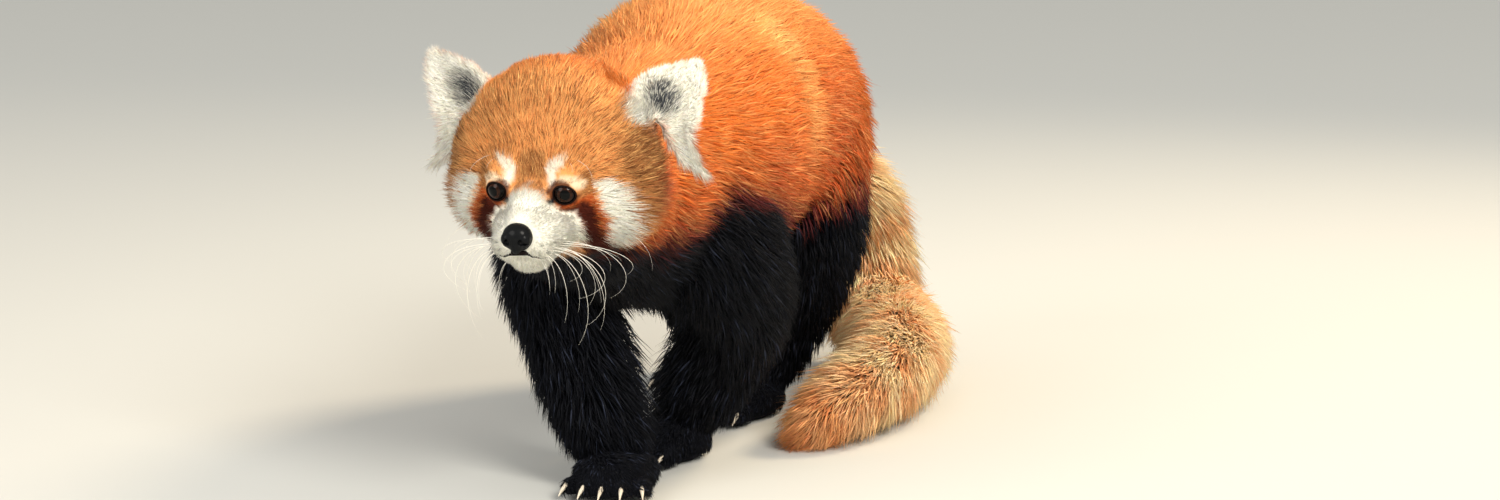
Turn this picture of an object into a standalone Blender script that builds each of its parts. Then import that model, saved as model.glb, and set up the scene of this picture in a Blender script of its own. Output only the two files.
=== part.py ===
"""A life-size standing red panda, as a museum shows it: head low, back arched, tail laid round its left side.

Lengths in the tables are millimetres, with +X to the animal's left, -Y ahead of it and +Z up.
The body tables stand on the floor below the shoulders. ORIGIN moves them so that the
middle of the left fore sole is the part's own origin.
"""

import math

import bmesh
import bpy
import numpy as np
from mathutils import Matrix, Vector
from mathutils.bvhtree import BVHTree

MM = 0.001
GAP = 0.3
ORIGIN = Vector((17, 18, 0))

HEAD_PLACE = Vector((-4, -190, 203))
HEAD_YAW, HEAD_PITCH, HEAD_ROLL = -3.0, 11.0, 0.0
EYE_RADIUS = 7.6
EYE_PLACE = Vector((20.6, 1.5, 0))
NOSE_PLACE = Vector((0, -27.5, -19))
NOSE_RADII = Vector((9.2, 7.6, 8.6))
CLAW_LENGTH, CLAW_RADIUS = 12.0, 2.1
TOES = 5

BODY_VOXEL, HEAD_VOXEL = 3.4, 1.9
BODY_FACES, HEAD_FACES = 3000, 2400
COAT_FACES = 6650

# Each station is x, y, z of the centre, then the half width across and the half depth.
TORSO = (
    (-3, -128, 192, 50, 50),
    (-2, -88, 190, 60, 62),
    (0, -30, 187, 72, 78),
    (0, 40, 187, 82, 85),
    (0, 115, 198, 90, 93),
    (0, 185, 200, 92, 93),
    (0, 245, 186, 90, 86),
    (2, 292, 164, 70, 68),
    (6, 325, 150, 42, 42),
)
FORELEG_RIGHT = (
    (-40, -26, 174, 33, 46),
    (-42, -34, 134, 37, 43),
    (-30, -46, 98, 33, 35),
    (-13, -60, 62, 31, 30),
    (1, -68, 32, 28, 27),
    (9, -72, 14, 24, 26),
)
FORELEG_LEFT = (
    (42, -8, 178, 34, 48),
    (56, 10, 138, 39, 46),
    (58, 30, 100, 35, 38),
    (44, 36, 66, 31, 30),
    (28, 34, 34, 26, 26),
    (21, 26, 14, 23, 25),
)
HINDLEG_LEFT = (
    (46, 226, 178, 46, 60),
    (58, 200, 132, 40, 52),
    (60, 188, 100, 33, 40),
    (50, 194, 66, 26, 29),
    (38, 190, 36, 22, 24),
    (30, 176, 15, 21, 24),
)
HINDLEG_RIGHT = (
    (-48, 236, 174, 44, 58),
    (-58, 236, 128, 38, 50),
    (-58, 252, 92, 31, 37),
    (-50, 282, 62, 25, 27),
    (-44, 290, 36, 22, 24),
    (-39, 276, 15, 21, 24),
)
TAIL = (
    (4, 296, 160, 30, 30),
    (24, 334, 150, 34, 34),
    (44, 362, 122, 38, 38),
    (54, 370, 84, 40, 40),
    (64, 352, 50, 41, 41),
    (86, 308, 37, 41, 41),
    (106, 254, 36, 40, 40),
    (116, 200, 34, 38, 38),
    (115, 152, 31, 35, 35),
    (107, 112, 25, 29, 29),
    (98, 88, 17, 20, 20),
    (92, 76, 12, 10, 10),
)

# Each foot is its sole's middle, its heading from straight ahead, and its half length and half width.
FEET = {
    "fore_right": ((12, -80, 0), 4.0, 34, 27),
    "fore_left": ((17, 18, 0), -26.0, 32, 24),
    "hind_left": ((26, 158, 0), -20.0, 38, 22),
    "hind_right": ((-38, 256, 0), 2.0, 38, 22),
}
FOOT_HEIGHT = 17
TOE_RADIUS = 7.6

# The lids close over the eye from a ball a little larger than it, with an almond opening.
LID_WALL = 1.7
EYE_OPENING = Vector((8.2, 12, 5.6))

# The mouth, from under the nose and out to a corner, in the head's frame.
MOUTH = ((0, -40, -30), (0, -40, -35), (9, -38, -37.5), (17, -30, -37), (24, -16, -34), (28, -4, -32))

# The head's masses: centre, then radii, with the origin between the eyes. Those off the middle have a twin.
HEAD_MASSES = (
    ((0, 50, 13), (62, 50, 53)),
    ((34, 37, -12), (31, 36, 31)),
    ((29, 42, 6), (36, 38, 40)),
    ((0, 24, -3), (48, 29, 38)),
    ((22, 22, -20), (28, 24, 22)),
    ((0, -2, -23), (26, 24, 19)),
    ((9, -16, -27), (13, 13, 12)),
    ((0, -9, -38), (14, 15, 9)),
    ((17, 10, 12), (17, 13, 12)),
    ((0, -3, -4), (14, 15, 11)),
    ((0, -13, -12), (12.5, 15, 10)),
    ((0, 40, -32), (50, 42, 24)),
)

# The ear seen from ahead: across and up, in the head's own frame, from its inner root round the tip.
EAR_OUTLINE = (
    (36, 47),
    (50, 57),
    (66, 63),
    (84, 67),
    (91, 61),
    (89, 42),
    (85, 26),
    (81, 11),
    (84.5, 0),
    (89, -11),
    (76, -6),
    (64, 9),
    (58, 24),
    (44, 32),
)
EAR_MIDDLE = Vector((67, 32))
EAR_DEPTH = 53
EAR_CUP, EAR_WALL = 13, 5.5
EAR_LEAN = 0.16

# Thin cuts that part the body: middle, the way the cut faces, and its half size.
CUTS = {
    "head_neck": ((-2, -118, 186), (0, 1, 0.12), (96, 92)),
    "neck_torso": ((0, -80, 194), (0, 0.97, -0.2), (92, 84)),
    "tail_root": ((12, 318, 156), (0.4, 0.87, -0.3), (70, 62)),
    "shoulder_right": ((-50, -36, 113), (-0.3, 0, -0.95), (66, 70)),
    "shoulder_left": ((66, 16, 117), (0.35, 0.05, -0.93), (60, 70)),
    "hip_left": ((66, 206, 121.5), (0.45, -0.1, -0.88), (70, 80)),
    "hip_right": ((-68, 240, 122), (-0.4, 0, -0.9), (62, 76)),
    "elbow_right": ((-22, -54, 76), (0.3, -0.3, -0.9), (48, 50)),
    "elbow_left": ((52, 33, 82), (-0.3, 0.1, -0.95), (48, 50)),
    "knee_left": ((56, 191, 84), (-0.15, 0.05, -1), (46, 50)),
    "knee_right": ((-55, 262, 80), (0.1, 0.4, -0.9), (46, 50)),
    "wrist_right": ((2, -68, 32), (0.25, -0.15, -0.95), (42, 42)),
    "wrist_left": ((28, 34, 34), (-0.4, -0.2, -0.9), (36, 38)),
    "heel_left": ((38, 190, 36), (-0.3, -0.4, -0.9), (30, 38)),
    "heel_right": ((-44, 287, 35), (0.05, -0.3, -0.95), (46, 60)),
    "tail_bend": ((54, 368, 78), (0.2, -0.3, -0.93), (56, 56)),
    "tail_mid": ((96, 282, 38), (0.3, -0.95, 0), (60, 60)),
    "tail_end": ((116, 176, 33), (0, -1, 0), (46, 56)),
}

# A point inside each piece, by which the pieces get their names.
PIECES = {
    "head": (-4, -160, 200),
    "neck": (-1, -100, 192),
    "torso": (0, 120, 200),
    "upper_arm_right": (-34, -44, 96),
    "upper_arm_left": (58, 28, 98),
    "thigh_left": (62, 194, 104),
    "thigh_right": (-60, 250, 100),
    "forearm_right": (-10, -61, 56),
    "forearm_left": (40, 36, 58),
    "shank_left": (48, 193, 60),
    "shank_right": (-49, 284, 58),
    "paw_fore_right": (12, -80, 8),
    "paw_fore_left": (18, 20, 8),
    "paw_hind_left": (27, 162, 8),
    "paw_hind_right": (-39, 262, 8),
    "tail_1_root": (40, 355, 128),
    "tail_2_bend": (74, 335, 44),
    "tail_3_mid": (111, 228, 35),
    "tail_4_tip": (108, 120, 28),
}

# The coat's depth kept off the core, half way to the tips of the long hair.
TAIL_COAT, LEG_COAT, BELLY_COAT = 10, 3.5, 8

# Rows of long locks. Each row is the body it grows on, where it starts and ends along that body's
# stations, its tiers, the angles it fills, its locks a tier, a lock's length in stations, its width and rise.
LOCK_ROWS = (
    ("torso", 0.4, 1.5, 2, 50, 130, 4, 1.15, 23, 3),
    ("torso", 2.3, 3.1, 2, 48, 132, 4, 0.95, 25, 3),
    ("torso", 3.9, 4.9, 2, 78, 102, 2, 0.9, 25, 3),
    ("torso", 6.0, 7.0, 2, 195, 345, 6, 1.15, 27, 1),
    ("foreleg_right", 0.9, 2.9, 3, 180, 300, 3, 1.3, 17, 4),
    ("foreleg_left", 0.9, 2.9, 3, 240, 360, 3, 1.3, 17, 4),
    ("hindleg_left", 0.9, 2.7, 3, 250, 370, 3, 1.3, 17, 4),
    ("hindleg_right", 0.9, 2.7, 3, 170, 290, 3, 1.3, 17, 4),
    ("tail", 0.5, 2.3, 3, 0, 360, 5, 1.7, 29, 0),
    ("tail", 3.3, 4.7, 2, 0, 360, 6, 1.7, 30, 0),
    ("tail", 5.7, 6.6, 2, 0, 360, 6, 1.7, 28, 0),
    ("tail", 7.7, 9.3, 3, 0, 360, 5, 1.8, 26, 0),
)

# The ruff behind the cheeks: how far back, first and last angle below level, locks, length and width.
RUFF_ROWS = (
    (28, -6, -70, 4, 30, 19),
    (44, 6, -84, 6, 34, 20),
    (60, 14, -80, 6, 36, 21),
)
THROAT_ROW = (30, 8, 3, 28, 19)

# Fringe along the ear's rim: places in the outline, from which locks stand out.
EAR_FRINGE = (0.6, 1.7, 2.8, 4.3, 5.2, 6.0, 6.8, 7.6, 8.4, 9.1, 9.8)
EAR_FRINGE_REACH = 1.1
EAR_CORE = 0.93

# Whiskers: root on the pad, the hoop's width and drop, how far it drifts back, and how far round it goes.
WHISKERS = (
    (17, -20, -27, 34, 16, -4, 150),
    (19, -16, -30, 30, 26, 2, 150),
    (20, -12, -28, 42, 15, 14, 120),
    (17, -20, -31, 22, 32, -2, 140),
    (21, -13, -30.5, 26, 34, 6, 125),
    (14, -23, -31, 15, 26, -8, 120),
    (21, -9, -28, 36, 22, 12, 140),
    (10, -21, -40, 8, 16, -6, 100),
)
WHISKER_RADIUS = 0.36

RUST = (0.55, 0.15, 0.035)
DARK_FUR = (0.012, 0.011, 0.014)
TAIL_BUFF = (0.72, 0.38, 0.17)
WHITE_FUR = (0.86, 0.82, 0.7)
HORN = (0.42, 0.37, 0.3)
EYE_BROWN = (0.025, 0.012, 0.007)
NOSE_BLACK = (0.012, 0.012, 0.014)


def clear_scene():
    for obj in list(bpy.data.objects):
        bpy.data.objects.remove(obj, do_unlink=True)


def head_turn():
    """The turn from the head's own frame to the body's."""
    yaw = Matrix.Rotation(math.radians(HEAD_YAW), 3, "Z")
    pitch = Matrix.Rotation(math.radians(HEAD_PITCH), 3, "X")
    roll = Matrix.Rotation(math.radians(HEAD_ROLL), 3, "Y")
    return yaw @ pitch @ roll


def from_head(point):
    return HEAD_PLACE + head_turn() @ Vector(point)


def twin(point):
    return Vector((-point[0], point[1], point[2]))


def new_object(name, points, faces):
    """A mesh object from points in millimetres in the body's frame."""
    mesh = bpy.data.meshes.new(name)
    mesh.from_pydata([(Vector(p) - ORIGIN) * MM for p in points], [], faces)
    mesh.validate()
    obj = bpy.data.objects.new(name, mesh)
    bpy.context.scene.collection.objects.link(obj)
    return obj


def evaluated(obj, name):
    """Replaces an object by what its modifiers make of it."""
    graph = bpy.context.evaluated_depsgraph_get()
    mesh = bpy.data.meshes.new_from_object(obj.evaluated_get(graph))
    made = bpy.data.objects.new(name, mesh)
    bpy.context.scene.collection.objects.link(made)
    bpy.data.objects.remove(obj, do_unlink=True)
    return made


def joined(name, objects):
    """One object that holds several meshes, still as separate shells."""
    work = bmesh.new()
    for obj in objects:
        work.from_mesh(obj.data)
        bpy.data.objects.remove(obj, do_unlink=True)
    mesh = bpy.data.meshes.new(name)
    work.to_mesh(mesh)
    work.free()
    made = bpy.data.objects.new(name, mesh)
    bpy.context.scene.collection.objects.link(made)
    return made


def melted(name, objects, voxel, smooth_rounds, faces):
    """Overlapping shells melted into one smooth surface of about so many triangles."""
    obj = joined(name, objects)
    remesh = obj.modifiers.new("melt", "REMESH")
    remesh.mode = "VOXEL"
    remesh.voxel_size = voxel * MM
    smooth = obj.modifiers.new("smooth", "SMOOTH")
    smooth.factor = 0.5
    smooth.iterations = smooth_rounds
    obj = evaluated(obj, name)
    triangulate = obj.modifiers.new("triangles", "TRIANGULATE")
    triangulate.quad_method = "SHORTEST_DIAGONAL"
    obj = evaluated(obj, name)
    decimate = obj.modifiers.new("fewer", "DECIMATE")
    decimate.ratio = min(1.0, faces / len(obj.data.polygons))
    return evaluated(obj, name)


def boolean(target, operation, cutters, solver="EXACT"):
    """Joins or cuts the target with a set of closed objects, which are then removed."""
    collection = bpy.data.collections.new("operands")
    bpy.context.scene.collection.children.link(collection)
    for obj in cutters:
        for home in list(obj.users_collection):
            home.objects.unlink(obj)
        collection.objects.link(obj)
    modifier = target.modifiers.new("boolean", "BOOLEAN")
    modifier.operation = operation
    modifier.operand_type = "COLLECTION"
    modifier.collection = collection
    modifier.solver = solver
    made = evaluated(target, target.name)
    for obj in list(collection.objects):
        bpy.data.objects.remove(obj, do_unlink=True)
    bpy.data.collections.remove(collection)
    return made


def row_at(rows, place):
    """The row of numbers at a place along a smooth curve through the rows, counted in rows."""
    last = len(rows) - 1
    place = min(max(place, 0), last)
    i = min(int(place), last - 1)
    t = place - i
    start, end = np.array(rows[i], float), np.array(rows[i + 1], float)
    before = np.array(rows[i - 1], float) if i else 2 * start - end
    after = np.array(rows[i + 2], float) if i + 2 <= last else 2 * end - start
    return 0.5 * (
        2 * start
        + (end - before) * t
        + (2 * before - 5 * start + 4 * end - after) * t**2
        + (3 * start - before - 3 * end + after) * t**3
    )


def spline(rows, steps):
    """Points on a smooth curve through rows of numbers, with so many steps from each row to the next."""
    return [row_at(rows, i / steps) for i in range((len(rows) - 1) * steps + 1)]


def skin_over(name, rings, first, last):
    """A closed surface over equal rings of points, with a pole at each end."""
    sides = len(rings[0])
    points = [p for ring in rings for p in ring] + [first, last]
    head, foot = len(points) - 2, len(points) - 1
    faces = []
    for i in range(len(rings) - 1):
        for j in range(sides):
            a, b = i * sides + j, i * sides + (j + 1) % sides
            faces.append((a, b, b + sides, a + sides))
    for j in range(sides):
        faces.append((head, (j + 1) % sides, j))
        end = (len(rings) - 1) * sides
        faces.append((foot, end + j, end + (j + 1) % sides))
    return facing_out(new_object(name, points, faces))


def frame_at(stations, place, across=(1, 0, 0)):
    """The centre, the two directions across and the half sizes of a body at a place along it."""
    row = row_at(stations, place)
    ahead = row_at(stations, place + 0.2) - row_at(stations, place - 0.2)
    along = Vector(ahead[:3]).normalized()
    side = (Vector(across) - along * along.dot(Vector(across))).normalized()
    return Vector(row[:3]), side, along.cross(side), row[3], row[4]


def tube(name, stations, sides=20, steps=4, thin=0.0, belly=0.0):
    """A round body along its stations, with domed ends, thinner than its coat all round or below."""
    rings = []
    for i in range((len(stations) - 1) * steps + 1):
        centre, side, depth, wide, deep = frame_at(stations, i / steps)
        kept = thin * min(1, (len(stations) - 1 - i / steps) / 1.5, deep / 30)
        ring = []
        for j in range(sides):
            angle = 2 * math.pi * j / sides
            under = belly * max(0, math.sin(angle))
            ring.append(
                centre
                + side * ((wide - kept) * math.cos(angle))
                + depth * ((deep - kept - under) * math.sin(angle))
            )
        rings.append(ring)
    ends = []
    for place, beyond in ((0, -0.2), (len(stations) - 1, 0.2)):
        row, near = row_at(stations, place), row_at(stations, place - beyond)
        ends.append(Vector(row[:3]) + (Vector(row[:3]) - Vector(near[:3])).normalized() * row[4] * 0.4)
    return skin_over(name, rings, *ends)


def lock(spine, outward, width, thickness=6.5):
    """One flat, tapered lock of hair along its spine, from its root under the skin to its tip."""
    rings = []
    for i, share in enumerate((0.55, 1.0, 0.9, 0.55)):
        along = (spine[min(i + 1, 4)] - spine[max(i - 1, 0)]).normalized()
        across = along.cross(outward).normalized()
        lift = across.cross(along)
        half, deep = width * share / 2, thickness * share / 2
        rings.append([spine[i] + across * half - lift * deep, spine[i] + lift * deep, spine[i] - across * half - lift * deep])
    root = spine[0] - (spine[1] - spine[0]) * 0.2
    return skin_over("lock", rings, root, spine[4])


def coat_spine(stations, place, angle, length, rise, kept, sway):
    """A lock's line on a body: it leaves the core, lies back along it and ends at the coat's outline."""
    spine = []
    sweep = ((0.0, -7.0), (0.26, 0.3 * kept), (0.52, 0.7 * kept + 1), (0.78, kept + 1.5), (1.0, kept + rise))
    for share, reach in sweep:
        centre, side, depth, wide, deep = frame_at(stations, place + length * share)
        turn = angle + sway * share
        wide, deep = max(wide - kept + reach, 4), max(deep - kept + reach, 4)
        spine.append(centre + side * (wide * math.cos(turn)) + depth * (deep * math.sin(turn)))
    return spine


def coat_locks():
    """The long locks of the body, legs and tail, tier over tier along the lie of the coat."""
    dice = np.random.default_rng(7)
    bodies = {
        "torso": (TORSO, BELLY_COAT),
        "foreleg_right": (FORELEG_RIGHT, LEG_COAT),
        "foreleg_left": (FORELEG_LEFT, LEG_COAT),
        "hindleg_left": (HINDLEG_LEFT, LEG_COAT),
        "hindleg_right": (HINDLEG_RIGHT, LEG_COAT),
        "tail": (TAIL, TAIL_COAT),
    }
    made = []
    for name, first, last, tiers, low, high, count, length, width, rise in LOCK_ROWS:
        stations, kept = bodies[name]
        for tier in range(tiers):
            place = first + (last - first) * tier / max(1, tiers - 1)
            for i in range(count):
                step = (high - low) / (count if high - low == 360 else count - 1)
                angle = math.radians(low + step * (i + (0.5 if tier % 2 and high - low == 360 else 0)))
                angle += dice.uniform(-0.06, 0.06)
                if tier % 2 and high - low < 360:
                    angle += math.radians(step * 0.3)
                here = place + dice.uniform(-0.08, 0.08)
                size = width * dice.uniform(0.88, 1.1) * min(1, frame_at(stations, here)[3] / 32 + 0.1)
                spine = coat_spine(stations, here, angle, length, rise, kept, dice.uniform(-0.14, 0.14))
                steps = [(b - a).normalized() for a, b in zip(spine, spine[1:])]
                if all(a.dot(b) > 0.4 for a, b in zip(steps, steps[1:])):
                    centre = frame_at(stations, here + length * 0.3)[0]
                    made.append(lock(spine, (spine[1] - centre).normalized(), size))
    return made


def head_locks(skull):
    """The ruff at the back of the cheeks and under the throat."""
    dice = np.random.default_rng(11)
    made = []
    for back, first, last, count, length, width in RUFF_ROWS:
        for side in (1, -1):
            for i in range(count):
                angle = math.radians(first + (last - first) * i / (count - 1) + dice.uniform(-3, 3))
                out = Vector((math.cos(angle) * side, 0, math.sin(angle)))
                place = Vector((0, back, -8)) + Vector((out.x * 62, 0, out.z * 46))
                made.append(face_lock(skull, place, out, length * dice.uniform(0.9, 1.08), width))
    back, forward, count, length, width = THROAT_ROW
    for i in range(count):
        out = Vector(((i - (count - 1) / 2) * 0.35, 0, -1)).normalized()
        made.append(face_lock(skull, Vector((out.x * 40, back - forward, -52)), out, length, width))
    return made


def face_lock(skull, place, out, length, width):
    """A lock of the ruff: it leaves the cheek, lies outwards and back, and its tip turns down."""
    root = on_surface(skull, from_head(place))
    turn = head_turn()
    outward = turn @ out
    lie = turn @ (out * 0.34 + Vector((0, 0.9, -0.12))).normalized()
    spine = [root - outward * 7 - lie * 4]
    for share, lift in ((0.25, 1.2), (0.5, 2.6), (0.76, 3.2), (1.0, 2.4)):
        spine.append(root + lie * length * share + outward * lift - Vector((0, 0, 4)) * share**2)
    return lock(spine, outward, width, 6)


def ball(name, centre, radii, turn=None, segments=20, rings=12):
    """An ellipsoid, turned about its centre."""
    turn = turn or Matrix.Identity(3)
    centre, radii = Vector(centre), Vector(radii)
    loops = []
    for i in range(1, rings):
        lift = math.pi * i / rings
        loops.append(
            [
                centre
                + turn
                @ Vector(
                    (
                        radii.x * math.sin(lift) * math.cos(2 * math.pi * j / segments),
                        radii.y * math.sin(lift) * math.sin(2 * math.pi * j / segments),
                        radii.z * math.cos(lift),
                    )
                )
                for j in range(segments)
            ]
        )
    top = centre + turn @ Vector((0, 0, radii.z))
    bottom = centre - turn @ Vector((0, 0, radii.z))
    return skin_over(name, [list(reversed(loop)) for loop in loops], top, bottom)


def slab(name, centre, facing, half, thickness=GAP):
    """A thin sheet across the body. Cutting it out parts two pieces and leaves the gap between them."""
    facing = Vector(facing).normalized()
    side = facing.cross(Vector((0, 1, 0)))
    if side.length < 0.5:
        side = facing.cross(Vector((0, 0, 1)))
    side.normalize()
    up = side.cross(facing)
    points = []
    for depth in (-thickness / 2, thickness / 2):
        for a, b in ((-1, -1), (1, -1), (1, 1), (-1, 1)):
            points.append(Vector(centre) + facing * depth + side * half[0] * a + up * half[1] * b)
    faces = [(0, 3, 2, 1), (4, 5, 6, 7), (0, 1, 5, 4), (1, 2, 6, 5), (2, 3, 7, 6), (3, 0, 4, 7)]
    return facing_out(new_object(name, points, faces))


def facing_out(obj):
    """Plane triangles all over a closed shell, each turned outwards."""
    work = bmesh.new()
    work.from_mesh(obj.data)
    bmesh.ops.triangulate(work, faces=work.faces)
    bmesh.ops.recalc_face_normals(work, faces=work.faces)
    work.to_mesh(obj.data)
    work.free()
    return obj


def foot_axes(heading):
    """Ahead and to the left for a foot, from its heading."""
    angle = math.radians(heading)
    ahead = Vector((math.sin(angle), -math.cos(angle), 0))
    return ahead, Vector((-ahead.y, ahead.x, 0)) * -1


def toe_places(sole, heading, half_length, half_width):
    """The middle of each toe and the way it points, fanned across the front of the foot."""
    ahead, left = foot_axes(heading)
    made = []
    for i in range(TOES):
        share = (i / (TOES - 1) - 0.5) * 2
        reach = half_length * (1.02 - 0.2 * share**2)
        middle = Vector(sole) + ahead * reach + left * (share * half_width * 0.84) + Vector((0, 0, TOE_RADIUS))
        made.append((middle, (ahead + left * share * 0.28).normalized()))
    return made


def foot_masses(name, sole, heading, half_length, half_width):
    """The paw's pad and back, and its five toes, as overlapping masses."""
    ahead, left = foot_axes(heading)
    turn = Matrix((left, ahead, Vector((0, 0, 1)))).transposed()
    centre = Vector(sole) + Vector((0, 0, FOOT_HEIGHT * 0.62))
    masses = [ball(name, centre, (half_width, half_length, FOOT_HEIGHT), turn)]
    for middle, points in toe_places(sole, heading, half_length, half_width):
        side = Vector((0, 0, 1)).cross(points)
        lie = Matrix((side, points, Vector((0, 0, 1)))).transposed()
        root = middle - points * TOE_RADIUS * 0.7
        masses.append(ball(name, root, (TOE_RADIUS * 0.86, TOE_RADIUS * 2.0, TOE_RADIUS), lie, 12, 8))
    return masses


def body():
    """Torso, legs, feet and tail as one surface."""
    masses = [tube("torso", TORSO, 28, belly=BELLY_COAT)]
    for name, stations, thin in (
        ("foreleg_right", FORELEG_RIGHT, LEG_COAT),
        ("foreleg_left", FORELEG_LEFT, LEG_COAT),
        ("hindleg_left", HINDLEG_LEFT, LEG_COAT),
        ("hindleg_right", HINDLEG_RIGHT, LEG_COAT),
        ("tail", TAIL, TAIL_COAT),
    ):
        masses.append(tube(name, stations, 20, thin=thin))
    for name, foot in FEET.items():
        masses.extend(foot_masses(name, *foot))
    return melted("body", masses, BODY_VOXEL, 7, BODY_FACES)


def head():
    """The skull's masses with the coat over them, melted into one surface."""
    turn = head_turn()
    masses = []
    for centre, radii in HEAD_MASSES:
        masses.append(ball("mass", from_head(centre), radii, turn, 24, 16))
        if centre[0]:
            masses.append(ball("mass", from_head(twin(centre)), radii, turn, 24, 16))
    return melted("head", masses, HEAD_VOXEL, 9, HEAD_FACES)


def ear(side, steps=2, rings=2):
    """One ear: a cup open to the front, with a rounded back and a thick furry rim."""
    rim = [EAR_MIDDLE + (Vector(p) - EAR_MIDDLE) * EAR_CORE for p in spline([*EAR_OUTLINE, EAR_OUTLINE[0]], steps)[:-1]]
    loops_front, loops_back = [], []
    for ring in range(1, rings + 1):
        share = ring / rings
        front, back = [], []
        for point in rim:
            place = EAR_MIDDLE + (Vector(point) - EAR_MIDDLE) * share
            lean = (place.x - EAR_MIDDLE.x) * EAR_LEAN + max(0, place.y - EAR_MIDDLE.y) * EAR_LEAN
            hollow = EAR_CUP * (1 - share**2)
            half = EAR_WALL * 0.5 * math.sqrt(1 - 0.85 * share**5)
            front.append((place.x, EAR_DEPTH + lean + hollow - half, place.y))
            back.append((place.x, EAR_DEPTH + lean + hollow * 0.8 + half + 0.8, place.y))
        loops_front.append(front)
        loops_back.append(back)
    mirror = Vector((side, 1, 1))
    placed = [[from_head(Vector(p) * mirror) for p in ring] for ring in loops_front + loops_back[::-1]]
    front_pole = from_head(Vector((EAR_MIDDLE.x, EAR_DEPTH + EAR_CUP - EAR_WALL / 2, EAR_MIDDLE.y)) * mirror)
    back_pole = from_head(Vector((EAR_MIDDLE.x, EAR_DEPTH + EAR_CUP * 0.8 + EAR_WALL / 2, EAR_MIDDLE.y)) * mirror)
    cup = skin_over("ear", placed, front_pole, back_pole)
    dice = np.random.default_rng(5)
    fringe = []
    for place in EAR_FRINGE:
        rim = (Vector(row_at(EAR_OUTLINE, place)) - EAR_MIDDLE) * EAR_CORE
        depth = EAR_DEPTH + dice.uniform(0.2, 1.3)
        spine = []
        for share in (0.6, 0.74, 0.88, 1.0, EAR_FRINGE_REACH):
            here = EAR_MIDDLE + rim * share
            lean = (here.x - EAR_MIDDLE.x + max(0, here.y - EAR_MIDDLE.y)) * EAR_LEAN
            hollow = EAR_CUP * (1 - min(share, 1) ** 2) * 0.9
            spine.append(from_head((here.x * side, depth + lean + hollow, here.y)))
        fringe.append(lock(spine, head_turn() @ Vector((0, -1, 0)), 9.5 * dice.uniform(0.9, 1.1), 3.1))
    return boolean(cup, "UNION", fringe)


def grown(obj, name, amount):
    """A copy of a closed shell, swollen by so many millimetres."""
    mesh = obj.data.copy()
    made = bpy.data.objects.new(name, mesh)
    bpy.context.scene.collection.objects.link(made)
    normals = [v.normal.copy() for v in mesh.vertices]
    for vertex, normal in zip(mesh.vertices, normals):
        vertex.co += normal * amount * MM
    return made


def on_surface(obj, point, lift=0.0):
    """The nearest place of a surface to a point in millimetres, raised by so much."""
    tree = BVHTree.FromObject(obj, bpy.context.evaluated_depsgraph_get())
    place, normal, _, _ = tree.find_nearest((Vector(point) - ORIGIN) * MM)
    return place / MM + ORIGIN + normal * lift


def thin_tube(name, path, radii, sides=6, tip=None):
    """A round rod along a path of points, drawn out to a tip where one is given."""
    rings = []
    for i, point in enumerate(path):
        along = (Vector(path[min(i + 1, len(path) - 1)]) - Vector(path[max(i - 1, 0)])).normalized()
        side = along.orthogonal().normalized()
        if i:
            side = (held - along * along.dot(held)).normalized()
        held = side
        up = along.cross(side)
        rings.append(
            [
                Vector(point) + (side * math.cos(a) + up * math.sin(a)) * radii[i]
                for a in (2 * math.pi * j / sides for j in range(sides))
            ]
        )
    return skin_over(name, rings, Vector(path[0]), tip or Vector(path[-1]))


def eye_forms():
    """The lids that stand round each eyeball, and the hollows behind and between them."""
    turn = head_turn()
    lids, hollows = [], []
    for side in (1, -1):
        centre = Vector((EYE_PLACE.x * side, EYE_PLACE.y, EYE_PLACE.z))
        wall = EYE_RADIUS + LID_WALL
        lids.append(ball("lid", from_head(centre), (wall, wall, wall), turn, 16, 10))
        socket = EYE_RADIUS + GAP
        hollows.append(ball("socket", from_head(centre), (socket, socket, socket), turn, 16, 10))
        slant = Matrix.Rotation(math.radians(9 * side), 3, "Y") @ Matrix.Rotation(math.radians(-14 * side), 3, "Z")
        front = centre + Vector((0.6 * side, -9, 0))
        hollows.append(ball("opening", from_head(front), EYE_OPENING, turn @ slant, 16, 8))
    return lids, hollows


def mouth_rods(skull):
    """Rods along the nose's cleft and both lips, which cut the line of the mouth."""
    rods = []
    for side in (1, -1):
        path = [on_surface(skull, from_head((p[0] * side + (0 if p[0] else 0.01 * side), p[1], p[2]))) for p in MOUTH]
        rods.append(thin_tube("lip", path, [0.9, 1.1, 1.3, 1.3, 1.2, 0.8], 4))
    return rods


def whiskers(skull):
    """Long stiff hairs that leave the muzzle's pads, fall and curl back."""
    made = []
    for side in (1, -1):
        for x, y, z, wide, drop, back, round_to in WHISKERS:
            turn = head_turn()
            root = on_surface(skull, from_head((x * side, y, z)))
            path = [on_surface(skull, from_head((x * side, y, z)), -3.0)]
            for share in (0.28, 0.54, 0.78, 1.0):
                angle = math.radians(round_to * share)
                hoop = Vector((wide * math.sin(angle) * side, back * share, -drop * (1 - math.cos(angle))))
                path.append(root + turn @ hoop)
            made.append(thin_tube("whisker", path[:-1], [WHISKER_RADIUS] * 4, 3, path[-1]))
    return made


def nose_form(extra=0.0):
    """The nose leather, with two wings."""
    turn = head_turn()
    radii = NOSE_RADII + Vector((extra, extra, extra))
    return ball("nose", from_head(NOSE_PLACE), radii, turn, 12, 9)


def claw_form(name, root, points, extra=0.0):
    """One curved claw, pointing ahead and down from its toe."""
    path, radii = [], []
    for i in range(3):
        share = i / 2
        drop = CLAW_LENGTH * 0.42 * share**2
        path.append(root + points * CLAW_LENGTH * share - Vector((0, 0, drop)))
        radii.append(CLAW_RADIUS * (1 - 0.8 * share**1.4) + extra)
    return thin_tube(name, path, radii, 5)


def claw_places():
    """Where each claw starts, in its toe, and the way it points."""
    made = {}
    for foot, values in FEET.items():
        for i, (middle, points) in enumerate(toe_places(*values)):
            root = middle + points * TOE_RADIUS * 0.25 + Vector((0, 0, 1.6))
            made[f"claw_{foot}_{i + 1}"] = (root, points)
    return made


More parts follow.
